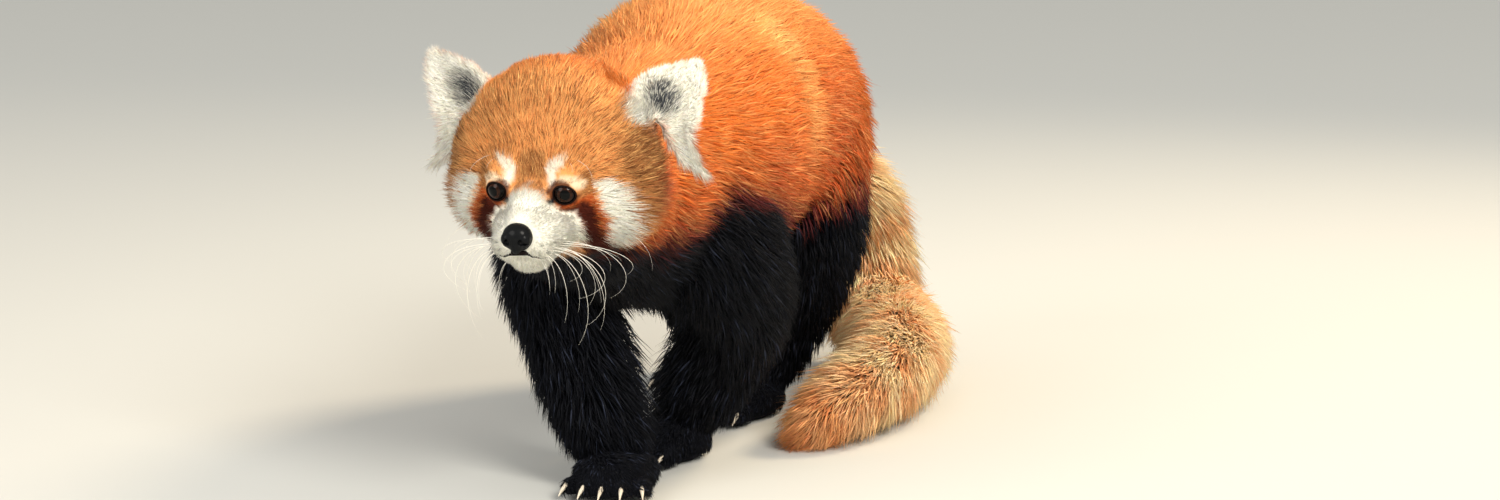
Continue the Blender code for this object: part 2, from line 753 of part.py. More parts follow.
def inside(tree, point):
    """Whether a point lies in a closed surface."""
    start = (Vector(point) - ORIGIN) * MM
    way = Vector((0.0123, 0.0171, 1)).normalized()
    hits = 0
    while True:
        place, _, _, _ = tree.ray_cast(start, way)
        if place is None:
            return hits % 2 == 1
        hits += 1
        start = place + way * 1e-6


def loose_parts(obj):
    """Every closed surface of a mesh as an object of its own."""
    work = bmesh.new()
    work.from_mesh(obj.data)
    work.verts.ensure_lookup_table()
    seen = set()
    groups = []
    for vertex in work.verts:
        if vertex.index in seen:
            continue
        group, queue = [], [vertex]
        seen.add(vertex.index)
        while queue:
            item = queue.pop()
            group.append(item)
            for edge in item.link_edges:
                other = edge.other_vert(item)
                if other.index not in seen:
                    seen.add(other.index)
                    queue.append(other)
        groups.append(group)
    made = []
    for group in sorted(groups, key=len, reverse=True):
        order = {vertex: i for i, vertex in enumerate(group)}
        faces = {face for vertex in group for face in vertex.link_faces}
        mesh = bpy.data.meshes.new("piece")
        mesh.from_pydata([v.co for v in group], [], [[order[v] for v in face.verts] for face in faces])
        made.append(bpy.data.objects.new("piece", mesh))
        bpy.context.scene.collection.objects.link(made[-1])
    work.free()
    bpy.data.objects.remove(obj, do_unlink=True)
    return made


def loose_parts_first(obj):
    """Only the largest closed surface of a mesh."""
    parts = loose_parts(obj)
    for part in parts[1:]:
        bpy.data.objects.remove(part, do_unlink=True)
    return parts[0]


def named_pieces(parts):
    """Names each piece by the inner point that it holds, and drops the crumbs."""
    trees = [BVHTree.FromObject(part, bpy.context.evaluated_depsgraph_get()) for part in parts]
    kept = set()
    for name, point in PIECES.items():
        for i, tree in enumerate(trees):
            if i not in kept and inside(tree, point):
                kept.add(i)
                parts[i].name = name
                parts[i].data.name = name
                break
        else:
            raise RuntimeError("no piece holds the middle of " + name)
    for i, part in enumerate(parts):
        if i not in kept:
            bpy.data.objects.remove(part, do_unlink=True)


def renamed(obj, name):
    obj.name = name
    obj.data.name = name
    return obj


def material(name, colour, roughness):
    made = bpy.data.materials.new(name)
    made.use_nodes = True
    shader = made.node_tree.nodes["Principled BSDF"]
    shader.inputs["Base Color"].default_value = (*colour, 1)
    shader.inputs["Roughness"].default_value = roughness
    made.diffuse_color = (*colour, 1)
    return made


def colour_of(name):
    """The node's main colour and roughness."""
    if name.startswith("claw"):
        return HORN, 0.35
    if name.startswith("eye"):
        return EYE_BROWN, 0.06
    if name == "nose":
        return NOSE_BLACK, 0.4
    if name.startswith("ear"):
        return WHITE_FUR, 0.9
    if name.startswith("tail"):
        return TAIL_BUFF, 0.9
    if name in ("head", "neck", "torso"):
        return RUST, 0.9
    return DARK_FUR, 0.85


def finish(obj):
    """Clean triangles, faces outwards, flat shading and the node's own material."""
    work = bmesh.new()
    work.from_mesh(obj.data)
    bmesh.ops.remove_doubles(work, verts=work.verts, dist=2e-6)
    bmesh.ops.dissolve_degenerate(work, edges=work.edges, dist=2e-6)
    bmesh.ops.collapse(work, edges=[edge for edge in work.edges if len(edge.link_faces) > 2])
    bmesh.ops.triangulate(work, faces=work.faces)
    bmesh.ops.recalc_face_normals(work, faces=work.faces)
    work.to_mesh(obj.data)
    work.free()
    obj.data.materials.clear()
    colour, roughness = colour_of(obj.name)
    obj.data.materials.append(material(obj.name, colour, roughness))


def fewer(obj, faces):
    """The same surface with about so many triangles, the smallest ones merged first."""
    decimate = obj.modifiers.new("fewer", "DECIMATE")
    decimate.ratio = min(1.0, faces / sum(len(face.vertices) - 2 for face in obj.data.polygons))
    return evaluated(obj, obj.name)


def small_parts():
    """The claws, the nose and the eyes."""
    for name, place in claw_places().items():
        renamed(claw_form(name, *place), name)
    dimples = []
    for side in (1, -1):
        hole = NOSE_PLACE + Vector((4.3 * side, -6.6, -1.2))
        dimples.append(ball("nostril", from_head(hole), (1.7, 2.4, 2.1), head_turn(), 8, 5))
    renamed(boolean(nose_form(), "DIFFERENCE", dimples), "nose")
    for name, side in (("eye_left", 1), ("eye_right", -1)):
        centre = from_head((EYE_PLACE.x * side, EYE_PLACE.y, EYE_PLACE.z))
        radii = (EYE_RADIUS, EYE_RADIUS, EYE_RADIUS)
        renamed(ball(name, centre, radii, head_turn(), 14, 9), name)


def main():
    clear_scene()
    skull = head()
    locks = head_locks(skull) + coat_locks()
    rods = mouth_rods(skull)
    hairs = whiskers(skull)
    lids, hollows = eye_forms()
    whole = boolean(body(), "UNION", [skull])
    whole = fewer(boolean(whole, "UNION", locks, "MANIFOLD"), COAT_FACES)
    for name, side in (("ear_left", 1), ("ear_right", -1)):
        cut = boolean(ear(side), "DIFFERENCE", [grown(whole, "shell", GAP)])
        renamed(loose_parts_first(cut), name)
    whole = boolean(whole, "UNION", lids + hairs)
    cutters = hollows + rods
    cutters.extend(claw_form("claw", *place, GAP) for place in claw_places().values())
    cutters.append(nose_form(GAP))
    cutters.append(slab("floor", (0, 120, -30), (0, 0, 1), (400, 500), 60))
    whole = boolean(whole, "DIFFERENCE", cutters)
    whole = boolean(whole, "DIFFERENCE", [slab(name, *cut) for name, cut in CUTS.items()])
    named_pieces(loose_parts(whole))
    small_parts()
    for obj in list(bpy.data.objects):
        finish(obj)


main()
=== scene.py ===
# %% [markdown]
# # A red panda, life size
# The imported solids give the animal's size, stance and outline. This script dresses them: a skin, a coat
# of tufts in solid mesh, and eyes, nose, lips, whiskers and claws. Everything is in metres in the frame of
# the solids, while the animal's own sizes below are in millimetres, as they are in its source.

# %% Load the frame
import math

import bmesh
import bpy
import numpy as np
from mathutils import Matrix, Vector
from mathutils.bvhtree import BVHTree
from mathutils.kdtree import KDTree


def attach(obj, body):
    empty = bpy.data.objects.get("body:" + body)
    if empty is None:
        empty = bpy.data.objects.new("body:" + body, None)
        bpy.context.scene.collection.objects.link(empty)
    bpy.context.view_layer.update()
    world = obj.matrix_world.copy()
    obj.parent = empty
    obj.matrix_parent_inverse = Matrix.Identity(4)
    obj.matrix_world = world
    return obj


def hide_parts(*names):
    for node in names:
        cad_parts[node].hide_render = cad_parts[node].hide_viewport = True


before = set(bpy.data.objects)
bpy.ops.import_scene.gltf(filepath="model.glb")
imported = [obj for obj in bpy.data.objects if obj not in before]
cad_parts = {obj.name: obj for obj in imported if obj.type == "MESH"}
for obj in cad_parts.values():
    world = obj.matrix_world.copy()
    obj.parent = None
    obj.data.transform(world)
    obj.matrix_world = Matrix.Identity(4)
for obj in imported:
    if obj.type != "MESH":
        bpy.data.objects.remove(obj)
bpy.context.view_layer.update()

MM = 0.001
ORIGIN = np.array((17.0, 18.0, 0.0))
CLAWS = sorted(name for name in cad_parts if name.startswith("claw"))
FLESH = sorted(set(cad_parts) - set(CLAWS) - {"nose", "eye_left", "eye_right"})

# %% [markdown]
# ## The animal's sizes
# A body is a row of stations: where its middle is, its half width and its half depth. The same tables
# shaped the solids, so the skin that is built from them lies inside the solids by the depth of the coat.

# %% Stations of torso, legs and tail, and the masses of the head
TORSO = (
    (-3, -128, 192, 50, 50),
    (-2, -88, 190, 60, 62),
    (0, -30, 187, 72, 78),
    (0, 40, 187, 82, 85),
    (0, 115, 198, 90, 93),
    (0, 185, 200, 92, 93),
    (0, 245, 186, 90, 86),
    (2, 292, 164, 70, 68),
    (6, 325, 150, 42, 42),
)
FORELEG_RIGHT = (
    (-40, -26, 174, 33, 46),
    (-42, -34, 134, 37, 43),
    (-30, -46, 98, 33, 35),
    (-13, -60, 62, 31, 30),
    (1, -68, 32, 28, 27),
    (9, -72, 14, 24, 26),
)
FORELEG_LEFT = (
    (42, -8, 178, 34, 48),
    (56, 10, 138, 39, 46),
    (58, 30, 100, 35, 38),
    (44, 36, 66, 31, 30),
    (28, 34, 34, 26, 26),
    (21, 26, 14, 23, 25),
)
HINDLEG_LEFT = (
    (46, 226, 178, 46, 60),
    (58, 200, 132, 40, 52),
    (60, 188, 100, 33, 40),
    (50, 194, 66, 26, 29),
    (38, 190, 36, 22, 24),
    (30, 176, 15, 21, 24),
)
HINDLEG_RIGHT = (
    (-48, 236, 174, 44, 58),
    (-58, 236, 128, 38, 50),
    (-58, 252, 92, 31, 37),
    (-50, 282, 62, 25, 27),
    (-44, 290, 36, 22, 24),
    (-39, 276, 15, 21, 24),
)
TAIL = (
    (4, 296, 160, 30, 30),
    (24, 334, 150, 34, 34),
    (44, 362, 122, 38, 38),
    (54, 370, 84, 40, 40),
    (64, 352, 50, 41, 41),
    (86, 308, 37, 41, 41),
    (106, 254, 36, 40, 40),
    (116, 200, 34, 38, 38),
    (115, 152, 31, 35, 35),
    (107, 112, 25, 29, 29),
    (98, 88, 17, 20, 20),
    (92, 76, 12, 10, 10),
)
# A body's stations and the depth of its coat.
BODIES = {
    "torso": (TORSO, 11),
    "foreleg_right": (FORELEG_RIGHT, 7),
    "foreleg_left": (FORELEG_LEFT, 7),
    "hindleg_left": (HINDLEG_LEFT, 7),
    "hindleg_right": (HINDLEG_RIGHT, 7),
    "tail": (TAIL, 19),
}
# A foot's sole, its heading off straight ahead, its half length and its half width.
FEET = {
    "fore_right": ((12, -80, 0), 4.0, 34, 27),
    "fore_left": ((17, 18, 0), -26.0, 32, 24),
    "hind_left": ((26, 158, 0), -20.0, 38, 22),
    "hind_right": ((-38, 256, 0), 2.0, 38, 22),
}
FOOT_HEIGHT, TOES, TOE_RADIUS, FOOT_COAT = 17, 5, 7.6, 1.6

HEAD_PLACE = np.array((-4.0, -190.0, 203.0))
HEAD_YAW, HEAD_PITCH = -3.0, 11.0
# Centre and radii with the origin between the eyes, then the depth of the coat there.
HEAD_MASSES = (
    ((0, 50, 13), (62, 50, 53), 5.0),
    ((34, 37, -12), (31, 36, 31), 5.5),
    ((29, 42, 6), (36, 38, 40), 5.0),
    ((0, 24, -3), (48, 29, 38), 3.0),
    ((22, 22, -20), (28, 24, 22), 3.5),
    ((0, -2, -23), (26, 24, 19), 1.8),
    ((9, -16, -27), (13, 13, 12), 1.4),
    ((0, -9, -38), (14, 15, 9), 1.6),
    ((17, 10, 12), (17, 13, 12), 2.0),
    ((0, -3, -4), (14, 15, 11), 1.6),
    ((0, -13, -12), (12.5, 15, 10), 1.4),
    ((0, 40, -32), (50, 42, 24), 5.5),
)
EYE_RADIUS, EYE_PLACE = 7.6, (20.6, 1.5, 0.0)
NOSE_PLACE, NOSE_RADII = (0, -27.5, -19), (9.2, 7.6, 8.6)
MOUTH = ((0, -40, -30), (0, -40, -35), (9, -38, -37.5), (17, -30, -37), (24, -16, -34), (28, -4, -32))

# %% [markdown]
# Two frames are used. The head's own frame has its origin between the eyes, so that a marking is given
# once and holds for both cheeks. A smooth curve through the stations gives the body between them.

# %% Frames and curves
turn_yaw = Matrix.Rotation(math.radians(HEAD_YAW), 3, "Z")
turn_pitch = Matrix.Rotation(math.radians(HEAD_PITCH), 3, "X")
HEAD_TURN = np.array(turn_yaw @ turn_pitch)


def from_head(points):
    """From the head's frame to the animal's, in millimetres."""
    return HEAD_PLACE + np.asarray(points, float) @ HEAD_TURN.T


def to_head(points):
    return (np.asarray(points, float) - HEAD_PLACE) @ HEAD_TURN


def to_metres(points):
    """From the animal's millimetres to the solids' frame."""
    return (np.asarray(points, float) - ORIGIN) * MM


def to_animal(points):
    return np.asarray(points, float) / MM + ORIGIN


def row_at(rows, place):
    """The row of numbers at a place along a smooth curve through the rows, counted in rows."""
    last = len(rows) - 1
    place = min(max(place, 0), last)
    i = min(int(place), last - 1)
    t = place - i
    start, end = np.array(rows[i], float), np.array(rows[i + 1], float)
    before = np.array(rows[i - 1], float) if i else 2 * start - end
    after = np.array(rows[i + 2], float) if i + 2 <= last else 2 * end - start
    bend = 2 * before - 5 * start + 4 * end - after
    return 0.5 * (2 * start + (end - before) * t + bend * t**2 + (3 * start - before - 3 * end + after) * t**3)


def unit(vectors):
    vectors = np.asarray(vectors, float)
    return vectors / np.maximum(np.linalg.norm(vectors, axis=-1, keepdims=True), 1e-9)


def smooth_step(value, low, high):
    t = np.clip((value - low) / (high - low), 0, 1)
    return t * t * (3 - 2 * t)


print("eye height %.0f mm, shoulder height %.0f mm" % (HEAD_PLACE[2], TORSO[2][2] + TORSO[2][4]))

# %% [markdown]
# ## The skin
# Under a coat the real animal is muscle and loose skin without one hard edge. Balls are set along every
# body, as a sculptor lays on clay, and a voxel remesh melts them into one closed surface. One skin for
# the whole animal leaves no seam between neck, legs and tail.

# %% Helpers that lay balls and melt them
def deselect():
    if bpy.context.object and bpy.context.object.mode != "OBJECT":
        bpy.ops.object.mode_set(mode="OBJECT")
    bpy.ops.object.select_all(action="DESELECT")


def frame_at(stations, place):
    """The middle, the two directions across, the one along, and the half sizes of a body at a place."""
    row = row_at(stations, place)
    along = unit(row_at(stations, place + 0.2)[:3] - row_at(stations, place - 0.2)[:3])
    side = unit(np.array((1.0, 0, 0)) - along * along[0])
    return row[:3], side, np.cross(along, side), along, row[3], row[4]


def ball(centre, radii, axes=None, segments=24, rings=14):
    """A sphere primitive, stretched, turned and set in its place."""
    deselect()
    bpy.ops.mesh.primitive_uv_sphere_add(segments=segments, ring_count=rings, radius=1)
    made = bpy.context.object
    turned = Matrix(np.identity(3) if axes is None else np.array(axes).T).to_4x4()
    size = Matrix.Diagonal((*(np.array(radii) * MM), 1))
    made.data.transform(Matrix.Translation(to_metres(centre)) @ turned @ size)
    return made


def along_body(stations, depth, spacing=0.3):
    """Balls along a body, close enough to touch all along, thinner than its coat."""
    place, made = 0.0, []
    while place <= len(stations) - 1:
        middle, side, up, along, wide, deep = frame_at(stations, place)
        kept = min(depth, 0.55 * wide)
        made.append(ball(middle, (wide - kept, (min(wide, deep) - kept) * 0.9, deep - kept), (side, along, up)))
        ahead = np.linalg.norm(row_at(stations, place + 0.1)[:3] - middle) / 0.1
        place += spacing * max(8.0, min(wide, deep) - kept) / max(ahead, 1.0)
    return made


def apply_all(thing):
    deselect()
    thing.select_set(True)
    bpy.context.view_layer.objects.active = thing
    for modifier in list(thing.modifiers):
        bpy.ops.object.modifier_apply(modifier=modifier.name)
    return thing


def join(things, name):
    deselect()
    for thing in things:
        thing.select_set(True)
    bpy.context.view_layer.objects.active = things[0]
    bpy.ops.object.join()
    made = bpy.context.object
    made.name = made.data.name = name
    return made


def melt(things, name, voxel, rounds):
    """Joins overlapping closed shapes into one smooth surface of triangles."""
    made = join(things, name)
    remesh = made.modifiers.new("melt", "REMESH")
    remesh.mode, remesh.voxel_size = "VOXEL", voxel * MM
    smooth = made.modifiers.new("smooth", "SMOOTH")
    smooth.factor, smooth.iterations = 0.5, rounds
    made.modifiers.new("triangles", "TRIANGULATE")
    return apply_all(made)


# %% [markdown]
# Each foot is a low pad with five toes fanned across its front.

# %% Feet
def foot_axes(heading):
    angle = math.radians(heading)
    ahead = np.array((math.sin(angle), -math.cos(angle), 0.0))
    return ahead, np.array((-ahead[1], ahead[0], 0.0)) * -1


def toe_places(sole, heading, half_length, half_width):
    """The middle of each toe and the way it points."""
    ahead, left = foot_axes(heading)
    made = []
    for i in range(TOES):
        share = (i / (TOES - 1) - 0.5) * 2
        reach = half_length * (1.02 - 0.2 * share**2)
        middle = np.array(sole) + ahead * reach + left * (share * half_width * 0.84)
        made.append((middle + np.array((0, 0, TOE_RADIUS)), unit(ahead + left * share * 0.28)))
    return made


def foot(sole, heading, half_length, half_width):
    ahead, left = foot_axes(heading)
    up = np.array((0, 0, 1.0))
    radii = (half_width - FOOT_COAT, half_length - FOOT_COAT, FOOT_HEIGHT - FOOT_COAT)
    made = [ball(np.array(sole) + up * FOOT_HEIGHT * 0.7, radii, (left, ahead, up))]
    for middle, points in toe_places(sole, heading, half_length, half_width):
        lie = (np.cross(up, points), points, up)
        radii = (TOE_RADIUS * 0.86 - 1.2, TOE_RADIUS * 2 - 1.2, TOE_RADIUS - 1.2)
        made.append(ball(middle - points * TOE_RADIUS * 0.7, radii, lie, 14, 10))
    return made


# %% [markdown]
# An ear is a cup. A sphere primitive becomes one when every point goes to its place between the ear's
# middle and its outline: the front half hollow, the back half round, with a few millimetres of wall.

# %% Ears
EAR_OUTLINE = (
    (36, 47),
    (50, 57),
    (66, 63),
    (84, 67),
    (91, 61),
    (89, 42),
    (85, 26),
    (81, 11),
    (84.5, 0),
    (89, -11),
    (76, -6),
    (64, 9),
    (58, 24),
    (44, 32),
)
EAR_MIDDLE, EAR_DEPTH, EAR_CUP, EAR_WALL, EAR_LEAN, EAR_CORE = (67, 32), 53, 13, 5.0, 0.16, 0.87
curve = np.array([row_at([*EAR_OUTLINE, EAR_OUTLINE[0]], i / 6) for i in range(len(EAR_OUTLINE) * 6)])
ray_angles = np.arctan2(*(curve - EAR_MIDDLE).T[::-1])
ray_lengths = np.linalg.norm(curve - EAR_MIDDLE, axis=1)
order = np.argsort(ray_angles)
ray_angles, ray_lengths = ray_angles[order], ray_lengths[order]


def ear_reach(across, up):
    """How far out in the ear a point is: 0 at its middle, 1 at its outline."""
    x, z = across - EAR_MIDDLE[0], up - EAR_MIDDLE[1]
    return np.hypot(x, z) / np.interp(np.arctan2(z, x), ray_angles, ray_lengths, period=2 * math.pi)


def ear(side):
    made = ball((0, 0, 0), (1, 1, 1), segments=40, rings=20)
    for vertex in made.data.vertices:
        x, y, z = to_animal(vertex.co)
        share, angle = math.hypot(x, z), math.atan2(z, x)
        share_out = share * EAR_CORE
        length = np.interp(angle, ray_angles, ray_lengths, period=2 * math.pi)
        across, up = EAR_MIDDLE[0] + length * share_out * math.cos(angle), EAR_MIDDLE[1] + length * share_out * math.sin(angle)
        lean = (across - EAR_MIDDLE[0] + max(0, up - EAR_MIDDLE[1])) * EAR_LEAN
        hollow = EAR_CUP * (1 - share_out**2) * (1 if y < 0 else 0.85)
        deep = EAR_DEPTH + 0.6 + lean + hollow + EAR_WALL * 0.5 * math.copysign(min(1, abs(y) * 2.5) ** 0.5, y)
        vertex.co = to_metres(from_head((across * side, deep, up)))
    return made


# %% Melt the whole skin
SKIN_VOXEL, LID_BULGE = 2.6, 1.8
# Loose skin fills the crease between skull and neck.
NAPE = ((-3, -108, 194), (51, 34, 51))


def eye_middle(side):
    return from_head(np.array(EYE_PLACE) * (side, 1, 1))


def skin_masses():
    made = []
    for stations, depth in BODIES.values():
        made += along_body(stations, depth)
    for values in FEET.values():
        made += foot(*values)
    for centre, radii, depth in HEAD_MASSES:
        for side in (1, -1) if centre[0] else (1,):
            place = from_head(np.array(centre) * (side, 1, 1))
            made.append(ball(place, np.array(radii) - depth, HEAD_TURN.T, 32, 20))
    for side in (1, -1):
        made += [ball(eye_middle(side), (EYE_RADIUS + LID_BULGE,) * 3, HEAD_TURN.T, 32, 20), ear(side)]
    return made + [ball(*NAPE, segments=32, rings=20)]


skin = melt(skin_masses(), "skin", SKIN_VOXEL, 8)
# The soles are flat on the floor.
for vertex in skin.data.vertices:
    vertex.co.z = max(vertex.co.z, 0.6 * MM)
print("skin:", len(skin.data.polygons), "triangles")

# %% [markdown]
# The skin bulges over each eye as its lids. The round socket and the almond opening are cut after the
# melt, so that their edges stay crisp. The almond slants down towards the nose.

# %% Eye sockets and the opening of the lids
SOCKET = EYE_RADIUS + 0.35
OPENING_RADII, OPENING_AHEAD = (6.6, 12.0, 5.5), (0.6, -9, 0)


def cut(thing, cutters):
    """Takes closed shapes out of another and removes them."""
    for cutter in cutters:
        modifier = thing.modifiers.new("cut", "BOOLEAN")
        modifier.operation, modifier.object, modifier.solver = "DIFFERENCE", cutter, "EXACT"
    apply_all(thing)
    for cutter in cutters:
        bpy.data.objects.remove(cutter, do_unlink=True)


def opening(side, wider):
    """The almond between the lids, and the three directions it is laid along."""
    slant = Matrix.Rotation(math.radians(9 * side), 3, "Y") @ Matrix.Rotation(math.radians(-14 * side), 3, "Z")
    middle = from_head(np.array(EYE_PLACE) * (side, 1, 1) + np.array(OPENING_AHEAD) * (side, 1, 1))
    return middle, np.array(OPENING_RADII) + wider, (HEAD_TURN @ np.array(slant)).T


for side in (1, -1):
    cut(skin, [ball(eye_middle(side), (SOCKET,) * 3, HEAD_TURN.T, 40, 26), ball(*opening(side, 0.9), 40, 26)])
skin.modifiers.new("triangles", "TRIANGULATE")
apply_all(skin)
bpy.ops.object.shade_smooth()
print("skin with sockets:", len(skin.data.polygons), "triangles")

# %% [markdown]
# ## Which way the hair lies
# Hair lies back from the nose over the head, back along the trunk, down the legs, and out along the tail.
# Where two parts meet, the directions must turn into each other, so every point of the skin gets a share
# of each part by how near it is, and the mixed directions are then smoothed over the mesh.

# %% Shares of the parts and the lie of the hair
PARTS = (*BODIES, "head", "ears")
BLEND_WIDTH = 5.0


def near_body(points, stations, depth):
    """For each point: how far it is from a body's skin, its place along it, and which way the body runs."""
    places = np.arange(0, len(stations) - 1 + 1e-6, 0.1)
    rows = np.array([row_at(stations, place) for place in places])
    along = unit(np.gradient(rows[:, :3], axis=0))
    radius = (rows[:, 3] + rows[:, 4]) / 2 - np.minimum(depth, 0.55 * rows[:, 3])
    best = np.full(len(points), 1e9)
    found = np.zeros(len(points), int)
    for i in range(len(rows)):
        gap = np.linalg.norm(points - rows[i, :3], axis=1) - radius[i]
        nearer = gap < best
        best[nearer], found[nearer] = gap[nearer], i
    return best, places[found], along[found], points - rows[found, :3]


def skin_fields(points, normals):
    """Everything that the coat needs to know at each point of the skin."""
    heads = to_head(points)
    gaps, runs, places, offsets = [], [], {}, {}
    for name, (stations, depth) in BODIES.items():
        gap, places[name], along, offsets[name] = near_body(points, stations, depth)
        gaps.append(gap)
        runs.append(along)
    skull = (heads - (0, 30, 2)) / (60, 58, 54)
    gaps.append((np.linalg.norm(skull, axis=1) - 1) * 56)
    side = np.abs(heads[:, 0])
    reach = ear_reach(side, heads[:, 2])
    lean = (side - EAR_MIDDLE[0] + np.maximum(0, heads[:, 2] - EAR_MIDDLE[1])) * EAR_LEAN
    cup = EAR_DEPTH + lean + EAR_CUP * np.maximum(0, 1 - reach**2) * 0.9
    gaps.append(np.maximum(np.abs(heads[:, 1] - cup) - 5, (reach - 1) * 30) * 1.5 - 4)
    shares = np.exp(-(np.array(gaps) - np.min(gaps, axis=0)) / BLEND_WIDTH)
    shares /= shares.sum(axis=0)
    runs[0] = unit(runs[0] + np.array((0, 0, -0.28)) + 0.12 * np.sign(points[:, :1]) * np.array((1.0, 0, 0)))
    for i in range(1, 5):
        runs[i] = unit(runs[i] + np.array((0, 0.12, 0)))
    # Where the tail lies on the floor, its long hair parts along the top and droops to both sides.
    droop = smooth_step(places["tail"], 4.0, 5.6) * smooth_step(places["tail"], 10.2, 9.0)
    runs[5] = unit(runs[5] + droop[:, None] * np.array((-0.25, 0, -0.5)))
    back = heads - (0, -27, -14)
    back[:, 2] += np.where(heads[:, 1] > 10, -0.4, 0.15) * np.abs(heads[:, 1])
    runs.append(unit(back @ HEAD_TURN.T))
    source = np.sign(heads[:, :1]) * (EAR_MIDDLE[0] - 15, 0, 0) + (0, 0, EAR_MIDDLE[1] - 12)
    outward = (heads - source) * (1, 0, 1)
    runs.append(unit(outward @ HEAD_TURN.T))
    lie = sum(share[:, None] * run for share, run in zip(shares, runs))
    lie -= normals * np.sum(lie * normals, axis=1, keepdims=True)
    front = (heads[:, 1] < cup).astype(float)
    return {"shares": shares.T, "lie": unit(lie), "tail": places["tail"], "reach": reach, "front": front}


def smoothed(values, edges, rounds):
    """Averages values over a mesh's edges, again and again."""
    count = np.bincount(edges.ravel(), minlength=len(values)).astype(float)
    for _ in range(rounds):
        total = np.zeros_like(values)
        for axis in range(values.shape[1]):
            total[:, axis] = np.bincount(edges[:, 0], values[edges[:, 1], axis], len(values))
            total[:, axis] += np.bincount(edges[:, 1], values[edges[:, 0], axis], len(values))
        values = 0.4 * values + 0.6 * total / np.maximum(count, 1)[:, None]
    return values


def read_mesh(mesh):
    """A mesh's points and normals, in the animal's millimetres, its edges and its triangles."""
    points, normals = np.empty(len(mesh.vertices) * 3), np.empty(len(mesh.vertices) * 3)
    mesh.vertices.foreach_get("co", points)
    mesh.vertices.foreach_get("normal", normals)
    edges = np.empty(len(mesh.edges) * 2, np.int32)
    mesh.edges.foreach_get("vertices", edges)
    faces = np.empty(len(mesh.loops), np.int32)
    mesh.loops.foreach_get("vertex_index", faces)
    return to_animal(points.reshape(-1, 3)), normals.reshape(-1, 3), edges.reshape(-1, 2), faces.reshape(-1, 3)


skin_points, skin_normals, skin_edges, skin_faces = read_mesh(skin.data)
fields = skin_fields(skin_points, skin_normals)
lie = smoothed(fields["lie"], skin_edges, 12)
fields["lie"] = unit(lie - skin_normals * np.sum(lie * skin_normals, axis=1, keepdims=True))
for name, share in zip(PARTS, fields["shares"].mean(axis=0)):
    print("  %-14s %4.1f %% of the skin" % (name, 100 * share))

# %% [markdown]
# ## Markings
# The face is the animal's badge: white muzzle, cheeks and brows on orange, with a dark stripe from each
# eye to the mouth. Each marking is a short outline seen from ahead, in the head's frame, with a soft edge.
# Skin and coat ask the same function for their colour, so they agree everywhere.

# %% Colours of the coat, as the eye sees them on a screen
def colour(code):
    """A screen colour such as c8642d as the linear numbers that light adds up in."""
    values = np.array([int(code[i:i + 2], 16) for i in (0, 2, 4)]) / 255
    return np.where(values < 0.04045, values / 12.92, ((values + 0.055) / 1.055) ** 2.4)


ORANGE, DEEP_ORANGE, GOLDEN, BROWN_GOLD = (colour(c) for c in ("ea7f33", "c75a2a", "ffc67e", "f0a562"))
WHITE, CREAM, BLACK, DUSKY = (colour(c) for c in ("fffcee", "f8e6c6", "0d0f16", "6a2b2c"))
STRIPE, RUST_RIM, DARK_BROWN, EAR_GREY = (colour(c) for c in ("4c1c10", "c05a28", "5e3118", "4b4e53"))
TAIL_PALE, TAIL_BAND = (colour(c) for c in ("ffdfae", "ec9656"))

# Outlines across and up, seen from ahead; a point left of the middle counts as its twin on the right.
MUZZLE = ((-5, 7), (9, 2.5), (13, -5), (19, -9.5), (25.5, -13), (29.5, -20), (30, -29), (26, -38), (18, -48), (-5, -54))
CHEEK = (
    (37, 4), (45, 6), (53, 0), (58, -10), (58.5, -24), (53, -36), (46, -44), (38, -45),
    (39.5, -34), (43.5, -26), (44.5, -18), (41, -9),
)
TEAR = (
    (19, -9), (25, -9), (30, -6), (34, -8), (38, -16), (39.5, -24), (38.5, -36), (38, -52), (14, -56), (24, -43),
    (29, -31), (30, -20), (25, -13),
)
TEAR_RIM = (
    (16, -6), (27, -4), (36, -2), (40, -10), (44, -18), (43, -30), (41, -52), (14, -58), (24, -44), (28, -30),
    (28, -20), (20, -11),
)
BROW = ((13.5, 2), (10.5, 7), (9, 13), (11.5, 18.5), (17, 21), (23.5, 20.5), (20, 16.5), (16.5, 12), (16.5, 5))
LID_PALE = ((15.5, 7), (21, 10.5), (28, 10), (32, 5.5), (31, 1.5), (25, 6.5), (19, 6.5))
# The dark spots that the whiskers grow from.
WHISKER_SPOTS = ((14, -24), (18.5, -24.5), (12.5, -28), (17, -28.5), (21.5, -28), (15, -32), (19.5, -32))
OUTER_SMUDGE = ((28, 12), (34, 12), (37, 4), (36, -6), (30, -7), (29, 0), (30, 5))
INNER_CORNER = ((10.2, -5.6), (12, -2.6), (15.5, -1.2), (16, -4.6), (13, -6))
BRIDGE_SHADE = ((-5, 24), (7, 22), (8.5, 12), (10, 5), (5, 6), (-5, 9))
TEMPLE = ((50, 28), (59, 30), (67, 10), (67, -28), (58, -46), (53, -40), (59, -24), (58, -8), (52, 8))


def inside_outline(x, z, outline, edge):
    """1 well inside an outline, 0 well outside it, and soft over the width of its edge."""
    inside = np.zeros(len(x), bool)
    nearest = np.full(len(x), 1e9)
    for (x0, z0), (x1, z1) in zip(outline, (*outline[1:], outline[0])):
        if z0 != z1:
            crosses = (z0 > z) != (z1 > z)
            inside ^= crosses & (x < x0 + (z - z0) * (x1 - x0) / (z1 - z0))
        length = (x1 - x0) ** 2 + (z1 - z0) ** 2
        t = np.clip(((x - x0) * (x1 - x0) + (z - z0) * (z1 - z0)) / length, 0, 1)
        nearest = np.minimum(nearest, np.hypot(x - x0 - t * (x1 - x0), z - z0 - t * (z1 - z0)))
    return smooth_step(np.where(inside, nearest, -nearest), -edge, edge)


def layered(base, over, share):
    share = np.clip(share, 0, 1)[:, None]
    return base * (1 - share) + over * share


# %% [markdown]
# On the trunk the orange of the back turns dusky and then black along a line that sinks behind the
# shoulder and climbs again over the thigh. A soft wobble keeps every edge from looking drawn.

